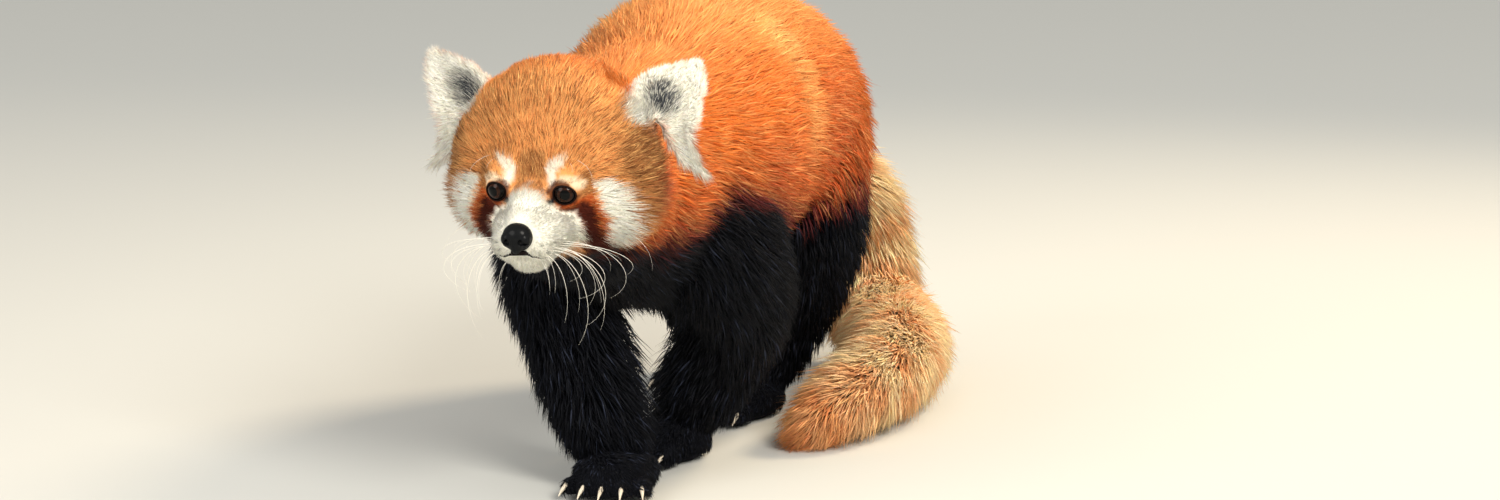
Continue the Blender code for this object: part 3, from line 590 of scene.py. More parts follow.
# %% The colour at any point
EAR_PATCH = (63, 41, 11.5, 13)
BELLY_LINE = ((-150, 150), (-110, 150), (-81, 147), (-50, 163), (-21, 169), (20, 163), (90, 140), (154, 130), (204, 142), (260, 140), (305, 145), (345, 150))
DUSKY_DEPTH = 27
EDGE = 1.6


def wobble(points, size, seed):
    """A cheap smooth noise from a few waves, near -1 to 1."""
    dice = np.random.default_rng(seed)
    total = np.zeros(len(points))
    for _ in range(6):
        wave = unit(dice.normal(size=3)) * dice.uniform(0.7, 1.6) * 2 * math.pi / size
        total += np.sin(points @ wave + dice.uniform(0, 6.3))
    return total / 3.2


def coat_colour(points, shares, tail, reach, front):
    heads = to_head(points)
    across, ahead, up = np.abs(heads[:, 0]), heads[:, 1], heads[:, 2]
    small, large = wobble(points, 9, 1), wobble(points, 42, 2)
    across, up = across + 0.8 * small, up + 0.8 * wobble(points, 11, 3)

    high = np.interp(points[:, 1], *np.array(BELLY_LINE).T) + 4 * large + 3 * small
    level = points[:, 2] - high
    back = np.tile(ORANGE, (len(points), 1))
    back = layered(back, DEEP_ORANGE, 0.75 * smooth_step(points[:, 2], 225, 165) + 0.15 * large)
    back = layered(back, DEEP_ORANGE, 0.5 * smooth_step(points[:, 1], 125, 150) * smooth_step(points[:, 2], 262, 215))
    # Painted highlight: a golden band where the ridge of fur on the flank catches the light. The golden over the top of
    # the back is partly the coat's own golden tips and partly painted highlight from the light above.
    ridge_highlight = np.exp(-(((points[:, 1] - 114 - 4 * small - 4 * large) / 13) ** 2)) * smooth_step(points[:, 2], 160, 215)
    ridge_highlight *= smooth_step(points[:, 2], 284, 262)
    back = layered(back, GOLDEN, 0.7 * ridge_highlight + 0.5 * smooth_step(points[:, 2], 225, 290))
    back = layered(back, DUSKY, smooth_step(level, DUSKY_DEPTH, 3))
    back = layered(back, BLACK, smooth_step(level, 7, -4))
    # The throat and chest are black from the jaw down.
    back = layered(back, BLACK, smooth_step(points[:, 1], -60, -95) * smooth_step(points[:, 2], 168, 152))

    face = np.tile(BROWN_GOLD, (len(points), 1))
    face = layered(face, ORANGE, smooth_step(ahead, 26, 62) * smooth_step(up, -10, 30))
    face = layered(face, DEEP_ORANGE, smooth_step(ahead, 26, 42) * smooth_step(up, 10, -4))
    shown = smooth_step(ahead, 48, 30)
    face = layered(face, DARK_BROWN, 0.6 * inside_outline(across, up, TEMPLE, 4) * smooth_step(ahead, 56, 40))
    face = layered(face, DARK_BROWN, 0.55 * inside_outline(across, up, BRIDGE_SHADE, 2.5) * shown)
    face = layered(face, DARK_BROWN, 0.6 * inside_outline(across, up, OUTER_SMUDGE, 2.5) * shown)
    face = layered(face, RUST_RIM, inside_outline(across, up, TEAR_RIM, EDGE) * shown)
    face = layered(face, STRIPE, inside_outline(across, up, TEAR, EDGE) * shown)
    cheek_end = inside_outline(across, up, CHEEK, 4) * np.exp(-(((ahead - 36 + 2 * small) / 4.5) ** 2))
    face = layered(face, DARK_BROWN, 0.8 * cheek_end)
    face = layered(face, WHITE, inside_outline(across, up, CHEEK, EDGE) * smooth_step(ahead, 33, 27))
    face = layered(face, CREAM, 0.85 * inside_outline(across, up, LID_PALE, 1.2) * shown)
    face = layered(face, WHITE, 0.85 * inside_outline(across, up, BROW, 1.5) * shown)
    # A dark rim round each eye, drawn out to a point at its inner corner.
    rim = np.hypot((across - EYE_PLACE[0]) / 9.0, (up + 0.12 * (across - EYE_PLACE[0])) / 7.6)
    face = layered(face, STRIPE, 0.9 * smooth_step(rim, 1.04, 0.92) * smooth_step(ahead, 12, 6))
    face = layered(face, BLACK, inside_outline(across, up, INNER_CORNER, 0.8) * shown)
    face = layered(face, WHITE, inside_outline(across, up, MUZZLE, EDGE) * smooth_step(ahead, 14, 4))
    for x, z in WHISKER_SPOTS:
        face = layered(face, EAR_GREY, 0.75 * np.exp(-((across - x) ** 2 + (up - z) ** 2) / 0.9) * (ahead < 0))
    face = layered(face, BLACK, smooth_step(up, -40, -47) * smooth_step(ahead, -4, 5))
    face = layered(face, BLACK, smooth_step(up, -40, -52) * smooth_step(across, 44, 30) * smooth_step(ahead, 20, 30))
    # The white of the ear runs on over the side of the head, to the ear's own outline seen from ahead.
    face = layered(face, WHITE, smooth_step(reach, 1.04, 0.92) * smooth_step(ahead, 28, 40) * smooth_step(across, 42, 50))

    ear = np.tile(WHITE, (len(points), 1))
    patch = np.hypot((across - EAR_PATCH[0]) / EAR_PATCH[2], (up - EAR_PATCH[1]) / EAR_PATCH[3]) + 0.2 * small
    ear = layered(ear, EAR_GREY, smooth_step(patch, 1.25, 0.5) * front)
    ear = layered(ear, DEEP_ORANGE, (1 - front) * smooth_step(reach, 0.86, 0.62))
    ear = layered(ear, ORANGE, smooth_step(across, 48, 43) * smooth_step(up, 34, 40))

    band = smooth_step(np.sin((tail + 0.22 * large) * 2 * math.pi / 1.02), 0.1, 0.8)
    tail_hair = layered(np.tile(TAIL_PALE, (len(points), 1)), TAIL_BAND, 0.62 * band)
    tail_hair = layered(tail_hair, TAIL_BAND, 0.7 * smooth_step(tail, 8.2, 9.6))
    tail_hair = layered(tail_hair, RUST_RIM, 0.6 * smooth_step(tail, 10.2, 11))
    tail_hair = layered(tail_hair, DEEP_ORANGE, smooth_step(tail, 1.3, 0.5))

    legs = shares[:, 1:5].sum(axis=1) + 0.0
    legs = legs * smooth_step(level, 6, -4)
    rest = np.maximum(1e-6, shares[:, 0] + shares[:, 1:5].sum(axis=1) - legs)
    weights = np.stack((rest, legs, shares[:, 5], shares[:, 6], shares[:, 7]))
    weights = weights**2 / (weights**2).sum(axis=0)
    made = back * weights[0][:, None] + BLACK * weights[1][:, None] + tail_hair * weights[2][:, None]
    return made + face * weights[3][:, None] + ear * weights[4][:, None]


KNOWN = ("shares", "tail", "reach", "front")
skin_colours = coat_colour(skin_points, *(fields[key] for key in KNOWN))
print("mean colour of the skin", np.round(skin_colours.mean(axis=0), 3))

# %% [markdown]
# ## Where each tuft's colour is kept
# When the model is exported, colours are baked into an image, and every tuft needs its own small patch in
# it. The skin under each piece of the coat is unwrapped, and a tuft gets the patch at its own root.

# %% Pieces of the coat, as sets of the skin's triangles
middles = skin_points[skin_faces].mean(axis=1)
main_part = fields["shares"][skin_faces].mean(axis=1).argmax(axis=1)
middle_heads = to_head(middles)
on_trunk, on_head = main_part == PARTS.index("torso"), main_part == PARTS.index("head")
on_foreleg = np.isin(main_part, (PARTS.index("foreleg_right"), PARTS.index("foreleg_left")))
on_hindleg = np.isin(main_part, (PARTS.index("hindleg_right"), PARTS.index("hindleg_left")))
NECK_END, FACE_END = -60, 22
# Each piece's triangles, its number of tufts, and the rings between a tuft's root and tip. Broad tufts that
# bend carry the lie of the coat, and fine straight ones over them break it up.
on_face, on_crown = on_head & (middle_heads[:, 1] < FACE_END), on_head & (middle_heads[:, 1] >= FACE_END)
on_ears, on_tail = main_part == PARTS.index("ears"), main_part == PARTS.index("tail")
on_neck, on_left = on_trunk & (middles[:, 1] < NECK_END), middles[:, 0] >= 0
on_trunk &= ~on_neck
COAT_PIECES = {
    "coat_face": (on_face, 43000, 0),
    "coat_crown": (on_crown, 10500, 1),
    "coat_ears": (on_ears, 26000, 0),
    "coat_neck": (on_neck, 6500, 1),
    "coat_trunk_left": (on_trunk & on_left, 8500, 1),
    "coat_trunk_right": (on_trunk & ~on_left, 8500, 1),
    "coat_forelegs": (on_foreleg, 8000, 1),
    "coat_hindlegs": (on_hindleg, 7500, 1),
    "coat_tail": (on_tail, 12500, 1),
    "hairs_crown": (on_crown, 29000, 0),
    "hairs_neck": (on_neck, 14000, 0),
    "hairs_trunk_left": (on_trunk & on_left, 23000, 0),
    "hairs_trunk_right": (on_trunk & ~on_left, 23000, 0),
    "hairs_forelegs": (on_foreleg, 16000, 0),
    "hairs_hindlegs": (on_hindleg, 15000, 0),
    "hairs_tail": (on_tail, 30000, 0),
}
PATCH = 0.003


skin.data.uv_layers.new(name="OFBake")


def unwrap(chosen):
    """Unwraps the chosen triangles of the skin over the whole image and returns their corners' places."""
    deselect()
    skin.select_set(True)
    bpy.context.view_layer.objects.active = skin
    bpy.context.tool_settings.mesh_select_mode = (False, False, True)
    skin.data.vertices.foreach_set("select", np.zeros(len(skin.data.vertices), bool))
    skin.data.edges.foreach_set("select", np.zeros(len(skin.data.edges), bool))
    skin.data.polygons.foreach_set("select", chosen)
    bpy.ops.object.mode_set(mode="EDIT")
    bpy.ops.uv.smart_project(angle_limit=math.radians(66), island_margin=0.002, scale_to_bounds=True)
    bpy.ops.object.mode_set(mode="OBJECT")
    places = np.empty(len(skin.data.loops) * 2, np.float32)
    skin.data.uv_layers["OFBake"].uv.foreach_get("vector", places)
    return PATCH + places.reshape(-1, 3, 2) * (1 - 2 * PATCH)


# %% [markdown]
# ## The coat
# Real fur is far too fine to model hair by hair, so each tuft stands for a few dozen hairs: a thin, tapered
# blade with three sides, rooted just under the skin. Its length, width and lift come from where it grows.
# Neighbours lean together at their tips, as hairs do, which breaks the coat into soft locks.

# %% Length, width and lift of the hair
TAIL_TURN = 7.0


def near_eye(points):
    return np.min([np.linalg.norm(points - eye_middle(side), axis=1) for side in (1, -1)], axis=0)


def hair_sizes(points, shares, tail, reach, front):
    """Each root's hair length and width in millimetres, and its lift off the skin at root and tip, in radians."""
    heads = to_head(points)
    across, ahead, up = np.abs(heads[:, 0]), heads[:, 1], heads[:, 2]
    from_nose = np.linalg.norm(heads - np.array(NOSE_PLACE), axis=1)
    under = smooth_step(points[:, 2], 150, 125)
    near_lids = smooth_step(near_eye(points), 8, 22)
    cheek = smooth_step(across, 26, 44) * smooth_step(up, 12, -8) * smooth_step(ahead, 2, 20)
    face = (3.4 + 0.11 * np.maximum(0, from_nose - 12)) * (0.42 + 0.58 * near_lids)
    face = np.minimum(face, 12.5) + 8 * cheek + 8 * smooth_step(ahead, 52, 80)
    toes = smooth_step(points[:, 2], 44, 16)
    trunk_length = 25 + 8 * under - 5 * smooth_step(points[:, 1], -70, -120)
    # Between the forelegs the hair is long and nearly closes the gap.
    between = smooth_step(np.abs(points[:, 0] - 13), 34, 16) * smooth_step(points[:, 1], 75, 45)
    between *= smooth_step(points[:, 2], 40, 62) * smooth_step(points[:, 2], 160, 130)
    leg_length = 22 - 15 * toes + 10 * between
    ear_length = 8 + 3 * smooth_step(reach, 0.6, 1.0) + 6 * smooth_step(up, 8, -4) - 2 * smooth_step(up, 46, 60)
    ear_length -= 4.5 * smooth_step(across, 58, 46)
    bend = np.exp(-(((tail - TAIL_TURN) / 1.5) ** 2))
    tail_length = 34 - 8 * smooth_step(tail, 9, 11) + 3 * bend
    lengths = [trunk_length, leg_length, tail_length, face, ear_length]
    widths = [1.2, 1.1 - 0.4 * toes, 1.3, 0.48 + 0.026 * face, 0.75]
    roots = [0.92, 0.86 - 0.34 * toes + 0.1 * between, 0.84 - 0.22 * bend, 0.5 + 0.02 * face, 0.7]
    tips = [0.24, 0.25 - 0.05 * toes, 0.26 - 0.12 * bend, 0.18 + 0.1 * cheek, 0.2]
    groups = [shares[:, 0], shares[:, 1:5].sum(axis=1), shares[:, 5], shares[:, 6], shares[:, 7]]
    return [sum(share * np.broadcast_to(value, len(points)) for share, value in zip(groups, row))
            for row in (lengths, widths, roots, tips)]


# %% [markdown]
# Some places stay bare: the eyes and their rims, the nose, the line of the lips and the soles.

# %% Bare places and the turn of the hair round the eyes
LIP_POINTS = from_head([np.array(row_at(MOUTH, i / 4)[:3]) * (side, 1, 1) for side in (1, -1) for i in range(21)])
skin_tree = BVHTree.FromPolygons([Vector(p) for p in skin_points], skin_faces.tolist())
LIP_POINTS = np.array([skin_tree.find_nearest(Vector(point))[0] for point in LIP_POINTS])


def is_bare(points, normals):
    """Inside the rims of the lids, the nose, the lips and the soles."""
    rims = np.zeros(len(points), bool)
    for side in (1, -1):
        middle, radii, axes = opening(side, 1.2)
        ahead = to_head(points)[:, 1] < EYE_PLACE[1]
        rims |= (np.linalg.norm(((points - middle) @ axes.T)[:, [0, 2]] / radii[[0, 2]], axis=1) < 1) & ahead
        rims |= np.linalg.norm(points - eye_middle(side), axis=1) < SOCKET + 0.25
    nose = (to_head(points) - np.array(NOSE_PLACE)) / (np.array(NOSE_RADII) * 1.03)
    lips = np.min([np.linalg.norm(points - lip, axis=1) for lip in LIP_POINTS], axis=0)
    sole = (points[:, 2] < 7) & (normals[:, 2] < -0.4)
    return rims | (np.linalg.norm(nose, axis=1) < 1) | (lips < 0.9) | sole


def turned_lie(points, normals, lie):
    """The lie of the hair with a turn round the eyes and a slow wander, as no coat is combed straight."""
    for side in (1, -1):
        away = points - eye_middle(side)
        near = smooth_step(np.linalg.norm(away, axis=1), 17, 9)
        lie = lie + unit(away) * (near * 1.6)[:, None]
    across = np.cross(normals, lie)
    wander = 0.22 * wobble(points, 46, 11) + 0.16 * wobble(points, 15, 12)
    lie = lie + across * wander[:, None]
    return unit(lie - normals * np.sum(lie * normals, axis=1, keepdims=True))


# %% Draw the roots of one piece
def weighted(corner_values, weights):
    """Corner values mixed by barycentric weights."""
    return np.einsum("nk...,nk->n...", corner_values, weights)


def draw_roots(chosen, count, places, dice):
    """Random roots over the chosen triangles, closer where the hair is short and thin."""
    chosen = np.flatnonzero(chosen)
    corners = skin_faces[chosen]
    a, b, c = (skin_points[corners[:, i]] for i in range(3))
    area = np.linalg.norm(np.cross(b - a, c - a), axis=1) / 2
    middle = (a + b + c) / 3
    known = {key: values[corners].mean(axis=1) for key, values in fields.items() if key != "lie"}
    length, width, _, _ = hair_sizes(middle, *(known[key] for key in KNOWN))
    wanted = area / (length * width) ** 0.8 * ~is_bare(middle, skin_normals[corners].mean(axis=1))
    wanted *= 1 + 1.2 * smooth_step(known["reach"], 0.7, 0.95) * known["shares"][:, PARTS.index("ears")]
    wanted *= 1 + 0.8 * np.exp(-(((known["tail"] - TAIL_TURN) / 1.5) ** 2)) * known["shares"][:, PARTS.index("tail")]
    picked = dice.choice(len(chosen), count, p=wanted / wanted.sum())
    weights = dice.dirichlet((1, 1, 1), count)
    corners = corners[picked]
    roots = {key: weighted(values[corners], weights) for key, values in fields.items()}
    roots["point"] = weighted(skin_points[corners], weights)
    roots["normal"] = unit(weighted(skin_normals[corners], weights))
    roots["place"] = weighted(places[chosen[picked]], weights)
    keep = ~is_bare(roots["point"], roots["normal"])
    return {key: values[keep] for key, values in roots.items()}


# %% [markdown]
# A tuft's line starts at a steep angle and bends down along the coat. Below the floor there is no room, so
# a line that would go under it is lifted.

# %% Grow the tufts of one piece
ROOT_SINK, CLUMP, CLUMP_PULL = 0.6, 11, 0.28
FLOOR_CLEARANCE = 0.7


def tuft_lines(roots, rings, dice):
    """The points of each tuft's line from root to tip, and each tuft's width."""
    count = len(roots["point"])
    length, width, steep, flat = hair_sizes(roots["point"], *(roots[key] for key in KNOWN))
    fine = rings == 0
    length = length * dice.uniform(0.78, 1.16, count) * (1.04 if fine else 1)
    width = width * dice.uniform(0.75, 1.2, count) * (0.8 if fine else 1.15)
    normals = roots["normal"]
    lie = turned_lie(roots["point"], normals, roots["lie"])
    across = np.cross(normals, lie)
    sideways, lifted = dice.normal(0, 0.14, count), dice.normal(0, 0.1, count)
    line = [roots["point"] - normals * ROOT_SINK]
    for step in range(rings + 1):
        share = (step + 0.5) / (rings + 1)
        angle = steep + (flat - steep) * share**0.7 + lifted
        way = lie * np.cos(angle)[:, None] + normals * np.sin(angle)[:, None]
        way += across * (sideways * (1 + share))[:, None] - np.array((0, 0, 0.08)) * share
        line.append(line[-1] + unit(way) * (length / (rings + 1))[:, None])
    line = np.array(line)
    centres = dice.choice(count, max(1, count // CLUMP), replace=False)
    tree = KDTree(len(centres))
    for i, point in enumerate(roots["point"][centres]):
        tree.insert(point, i)
    tree.balance()
    guide = centres[[tree.find(point)[1] for point in roots["point"]]]
    for step in range(1, rings + 2):
        share = (step / (rings + 1)) ** 1.6
        pull = (line[step][guide] - line[step]) * (CLUMP_PULL * share)
        reach = np.linalg.norm(pull, axis=1, keepdims=True)
        line[step] += pull * np.minimum(1, 0.35 * length[:, None] / np.maximum(reach, 1e-9))
    line[1:, :, 2] = np.maximum(line[1:, :, 2], FLOOR_CLEARANCE)
    return line, width


def tuft_mesh(name, line, width, roots, colours, dice):
    """One mesh of tapered, three-sided, closed tufts, with their colours and their patches."""
    rings, count = len(line) - 1, line.shape[1]
    profile = (0.75, 1.0) if rings == 2 else (1.0,)
    points, places = [], []
    for step in range(rings):
        along = unit(line[step + 1] - line[max(step - 1, 0)])
        across = unit(np.cross(along, roots["normal"]))
        lift = np.cross(across, along)
        half = across * (width * profile[step] / 2)[:, None]
        thick = lift * (width * profile[step] * 0.22)[:, None]
        points += [line[step] + half - thick, line[step] + thick, line[step] - half - thick]
        up = step / rings - 0.5
        places += [(-0.5, up), (0, up + 0.12), (0.5, up)]
    points.append(line[-1])
    places.append((0, 0.5))
    points = np.array(points).transpose(1, 0, 2)
    each = len(places)
    faces = [(0, 2, 1)]
    for step in range(rings - 1):
        for side in range(3):
            a, b = 3 * step + side, 3 * step + (side + 1) % 3
            faces.append((a, b, b + 3, a + 3))
    last = 3 * (rings - 1)
    faces += [(last + side, last + (side + 1) % 3, each - 1) for side in range(3)]
    corners = np.array([corner for face in faces for corner in reversed(face)])
    sizes = np.array([len(face) for face in faces])
    loops = (corners + np.arange(count)[:, None] * each).ravel()

    mesh = bpy.data.meshes.new(name)
    mesh.vertices.add(count * each)
    mesh.vertices.foreach_set("co", to_metres(points).ravel())
    mesh.loops.add(len(loops))
    mesh.loops.foreach_set("vertex_index", loops.astype(np.int32))
    all_sizes = np.tile(sizes, count)
    mesh.polygons.add(len(all_sizes))
    mesh.polygons.foreach_set("loop_start", np.concatenate(([0], np.cumsum(all_sizes)[:-1])).astype(np.int32))
    mesh.polygons.foreach_set("use_smooth", np.ones(len(all_sizes), bool))
    mesh.update(calc_edges=True)

    tint = np.ones((count, each, 4))
    tint[:, :, :3] = colours[:, None, :]
    mesh.attributes.new("coat", "FLOAT_COLOR", "POINT").data.foreach_set("color", tint.ravel())
    along = np.array([*np.repeat(np.arange(rings) / rings, 3), 1.0])
    mesh.attributes.new("along", "FLOAT", "POINT").data.foreach_set("value", np.tile(along, count))
    lot = np.repeat(dice.random(count), each)
    mesh.attributes.new("lot", "FLOAT", "POINT").data.foreach_set("value", lot)
    patch = roots["place"][:, None, :] + np.array(places)[None] * PATCH
    mesh.uv_layers.new(name="OFBake").uv.foreach_set("vector", patch[:, corners].ravel().astype(np.float32))
    made = bpy.data.objects.new(name, mesh)
    bpy.context.scene.collection.objects.link(made)
    return made


# %% [markdown]
# No two hairs have one colour. On the crown dark and pale hairs mix into streaks, on the back the tips are
# golden, and the black of the legs holds a few grey hairs.

# %% Streaks
def streaked(colours, roots, dice):
    count = len(colours)
    heads = to_head(roots["point"])
    crown = roots["shares"][:, PARTS.index("head")] * smooth_step(heads[:, 2], -8, 6)
    lightness = colours.max(axis=1)
    mixed = colours * dice.uniform(0.8, 1.16, (count, 1)) * dice.uniform(0.95, 1.05, (count, 3))
    draw = dice.random(count) + 0.12 * wobble(roots["point"], 7, 21)
    is_fur = smooth_step(lightness, 0.1, 0.3) * smooth_step(colours[:, 2] / np.maximum(lightness, 1e-6), 0.62, 0.4)
    mixed = layered(mixed, DARK_BROWN, (draw < 0.18) * crown * is_fur * 0.72)
    mixed = layered(mixed, GOLDEN, (draw > 0.7) * is_fur * (0.3 + 0.3 * crown))
    in_ear = roots["shares"][:, PARTS.index("ears")] * smooth_step(lightness, 0.5, 0.3)
    mixed = layered(mixed, WHITE, (draw > 0.72) * in_ear * 0.7)
    grey = (draw > 0.93) * smooth_step(lightness, 0.06, 0.02)
    return layered(mixed, colour("363c4e"), 0.6 * grey)


# %% Grow every piece
coat = {}
for number, (name, (chosen, count, rings)) in enumerate(COAT_PIECES.items()):
    dice = np.random.default_rng(100 + number)
    roots = draw_roots(chosen, count, unwrap(chosen), dice)
    line, width = tuft_lines(roots, rings, dice)
    # A tuft takes the colour of the place that its visible part covers, give or take a hair.
    seen = line[0] + (line[-1] - line[0]) * dice.uniform(0.35, 0.75, (len(width), 1))
    stray = 0.055 + 0.2 * roots["shares"][:, PARTS.index("ears")]
    seen += dice.normal(0, 1, seen.shape) * (stray * np.linalg.norm(line[-1] - line[0], axis=1))[:, None]
    colours = streaked(coat_colour(seen, *(roots[key] for key in KNOWN)), roots, dice)
    coat[name] = tuft_mesh(name, line, width, roots, np.clip(colours, 0, 1), dice)
    print("  %-17s %6d tufts, %6d triangles" % (name, len(width), len(width) * (6 * rings + 4)))
unwrap(np.ones(len(skin_faces), bool))
tint = np.ones((len(skin_points), 4))
tint[:, :3] = np.clip(skin_colours, 0, 1)
skin.data.attributes.new("coat", "FLOAT_COLOR", "POINT").data.foreach_set("color", tint.ravel())

# %% [markdown]
# ## Materials
# A small class makes shader arithmetic readable: it wraps a socket, and its operators add the nodes.

# %% The class
class Value:
    """A shader socket that can be reckoned with."""

    def __init__(self, tree, socket=None):
        self.tree, self.socket = tree, socket

    def node(self, kind, settings=(), inputs=(), output=0):
        """Adds a node. Its settings come first, as they decide which sockets it has, then values and links."""
        made = self.tree.nodes.new(kind)
        for key, value in dict(settings).items():
            setattr(made, key, value)
        for key, value in dict(inputs).items():
            if isinstance(value, Value):
                self.tree.links.new(value.socket, made.inputs[key])
            else:
                made.inputs[key].default_value = value
        return Value(self.tree, made.outputs[output])

    def math(self, operation, first, second):
        return self.node("ShaderNodeMath", {"operation": operation}, {0: first, 1: second})

    def __add__(self, other):
        return self.math("ADD", self, other)

    def __sub__(self, other):
        return self.math("SUBTRACT", self, other)

    def __rsub__(self, other):
        return self.math("SUBTRACT", other, self)

    def __mul__(self, other):
        return self.math("MULTIPLY", self, other)

    def __truediv__(self, other):
        return self.math("DIVIDE", self, other)

    def __rtruediv__(self, other):
        return self.math("DIVIDE", other, self)

    def __pow__(self, other):
        return self.math("POWER", self, other)

    __radd__, __rmul__ = __add__, __mul__

    def scaled(self, share):
        """A colour made lighter or darker."""
        return self.node("ShaderNodeVectorMath", {"operation": "SCALE"}, {0: self, "Scale": share})

    def mixed(self, share, other):
        """This colour going over into another."""
        return self.node("ShaderNodeMix", {"data_type": "RGBA"}, {"Factor": share, 6: self, 7: other}, 2)

    def step(self, low, high):
        """0 below low, 1 above high, smooth between."""
        inputs = {"Value": self, "From Min": low, "From Max": high}
        return self.node("ShaderNodeMapRange", {"interpolation_type": "SMOOTHSTEP"}, inputs)

    def attribute(self, name, output):
        return self.node("ShaderNodeAttribute", {"attribute_name": name}, (), output)

    def noise(self, scale, detail=3.0):
        """Noise fixed to the object; the scale counts its spots per metre."""
        place = self.node("ShaderNodeTexCoord", (), (), "Object")
        return self.node("ShaderNodeTexNoise", (), {"Vector": place, "Scale": scale, "Detail": detail}, 0)


def new_material(name, **constants):
    """A principled material with its constant sockets set; returns it, its shader and a first value."""
    made = bpy.data.materials.new(name)
    made.use_nodes = True
    shader = made.node_tree.nodes["Principled BSDF"]
    for key, value in constants.items():
        shader.inputs[key.replace("_", " ")].default_value = value
    return made, shader, Value(made.node_tree)


def feed(shader, **values):
    for key, value in values.items():
        value.tree.links.new(value.socket, shader.inputs[key.replace("_", " ")])


def tone(code):
    return (*colour(code), 1.0)


# %% [markdown]
# A hair is dull and dark near its root and brighter at its tip, partly its own tone and partly painted shade from the
# coat above it, and no two are quite alike.
# The skin under the coat has the same markings, darker, as painted shade from the coat that lies over it.

# %% Coat and skin
def coat_material():
    made, shader, start = new_material("coat", IOR=1.45, Specular_IOR_Level=0.16)
    along, lot = start.attribute("along", "Fac"), start.attribute("lot", "Fac")
    noise = start.noise(260)
    # Darker towards the root is partly painted shade, where the coat shades itself; lot and noise vary the tone at
    # random.
    light = (0.84 + 0.26 * along) * (0.92 + 0.16 * lot) * (0.9 + 0.2 * noise)
    feed(shader, Base_Color=start.attribute("coat", "Color").scaled(light), Roughness=0.55 + 0.16 * noise)
    return made


def skin_material():
    made, shader, start = new_material("skin", Roughness=0.85, Specular_IOR_Level=0.1)
    noise = start.noise(420, 4.0)
    feed(shader, Base_Color=start.attribute("coat", "Color").scaled(0.7 + 0.35 * noise))
    bump = start.node("ShaderNodeBump", (), {"Strength": 0.35, "Distance": 0.001, "Height": noise})
    feed(shader, Normal=bump)
    return made


fur, hide = coat_material(), skin_material()
skin.data.materials.append(hide)
for piece in coat.values():
    piece.data.materials.append(fur)

# %% [markdown]
# ## Eyes
# A red panda's eyes are dark brown and bright with a wet shine. The sphere's pole points where the eye
# looks, and an attribute tells the material how far each point is from that pole.

# %% Eyeballs
def axes_towards(way):
    """Three directions of a right-handed frame whose third is the way given."""
    side = unit(np.cross(HEAD_TURN[:, 2], way))
    return side, np.cross(way, side), way


def eye_material():
    made, shader, start = new_material("eye", Roughness=1.0, Specular_IOR_Level=0.0, Coat_Weight=1.0, Coat_IOR=1.24,
                                        Coat_Roughness=0.03)
    gaze, noise = start.attribute("gaze", "Fac"), start.noise(900)
    iris = start.node("ShaderNodeMix", {"data_type": "RGBA"}, {
        "Factor": noise.step(0.35, 0.7), 6: tone("1c0d06"), 7: tone("361a0c")}, 2)
    ring = iris.mixed(gaze.step(0.83, 0.76), tone("070404"))
    feed(shader, Base_Color=ring.mixed(gaze.step(0.9, 0.925), tone("020202")))
    return made


eye_look = eye_material()
eyes = {}
for side, name in ((1, "eye_left"), (-1, "eye_right")):
    gaze = HEAD_TURN @ unit((0.32 * side, -1, 0.05))
    eye = ball(eye_middle(side), (EYE_RADIUS,) * 3, axes_towards(gaze), 48, 32)
    eye.name = eye.data.name = "look_" + name
    bpy.ops.object.shade_smooth()
    places = np.empty(len(eye.data.vertices) * 3)
    eye.data.vertices.foreach_get("co", places)
    toward = unit(to_animal(places.reshape(-1, 3)) - eye_middle(side)) @ gaze
    eye.data.attributes.new("gaze", "FLOAT", "POINT").data.foreach_set("value", toward)
    eye.data.materials.append(eye_look)
    eyes[name] = eye

# %% [markdown]
# The bare dark rim of the lids is a thin shell round the eyeball, with a slightly smaller opening than the
# furred lid in front of it.

# %% Rims of the lids
LID_WALL = 0.75


def leather(name, codes, roughness, spots, strength, wet=0.0):
    """Bare dark skin: two tones in fine spots, pebbled, and wet or dry."""
    made, shader, start = new_material(name, Specular_IOR_Level=0.07, Coat_Weight=wet, Coat_Roughness=0.2)
    noise = start.noise(spots, 3.0)
    shade = start.node("ShaderNodeMix", {"data_type": "RGBA"}, {"Factor": noise, 6: tone(codes[0]), 7: tone(codes[1])}, 2)
    cells = start.node("ShaderNodeTexVoronoi", (), {
        "Vector": start.node("ShaderNodeTexCoord", (), (), "Object"), "Scale": spots * 2.2})
    bump = start.node("ShaderNodeBump", (), {"Strength": strength, "Distance": 0.0004, "Height": cells})
    feed(shader, Base_Color=shade, Roughness=roughness + 0.2 * noise, Normal=bump)
    return made


def refine(thing, voxel, rounds):
    """Rounds off every edge by a fine remesh."""
    remesh = thing.modifiers.new("refine", "REMESH")
    remesh.mode, remesh.voxel_size = "VOXEL", voxel * MM
    smooth = thing.modifiers.new("smooth", "SMOOTH")
    smooth.factor, smooth.iterations = 0.5, rounds
    apply_all(thing)
    bpy.ops.object.shade_smooth()


def lids(side):
    middle = eye_middle(side)
    behind = from_head(np.array(EYE_PLACE) * (side, 1, 1) + (0, 8.5, 0))
    shell = ball(middle, (EYE_RADIUS + LID_WALL,) * 3, HEAD_TURN.T, 48, 32)
    cut(shell, [
        ball(middle, (EYE_RADIUS + 0.1,) * 3, HEAD_TURN.T, 48, 32),
        ball(*opening(side, -0.2), 48, 32),
        ball(behind, (14, 8, 14), HEAD_TURN.T, 32, 20),
    ])
    refine(shell, 0.42, 2)
    return shell


lid_pair = join([lids(1), lids(-1)], "lids")
lid_pair.data.materials.append(leather("lid", ("0d0808", "1d1210"), 0.4, 900, 0.3))
print("lids:", len(lid_pair.data.polygons), "faces")

# %% [markdown]
# ## Nose and lips
# The nose pad is broad, with two comma-shaped nostrils open to the sides and a groove down its middle.

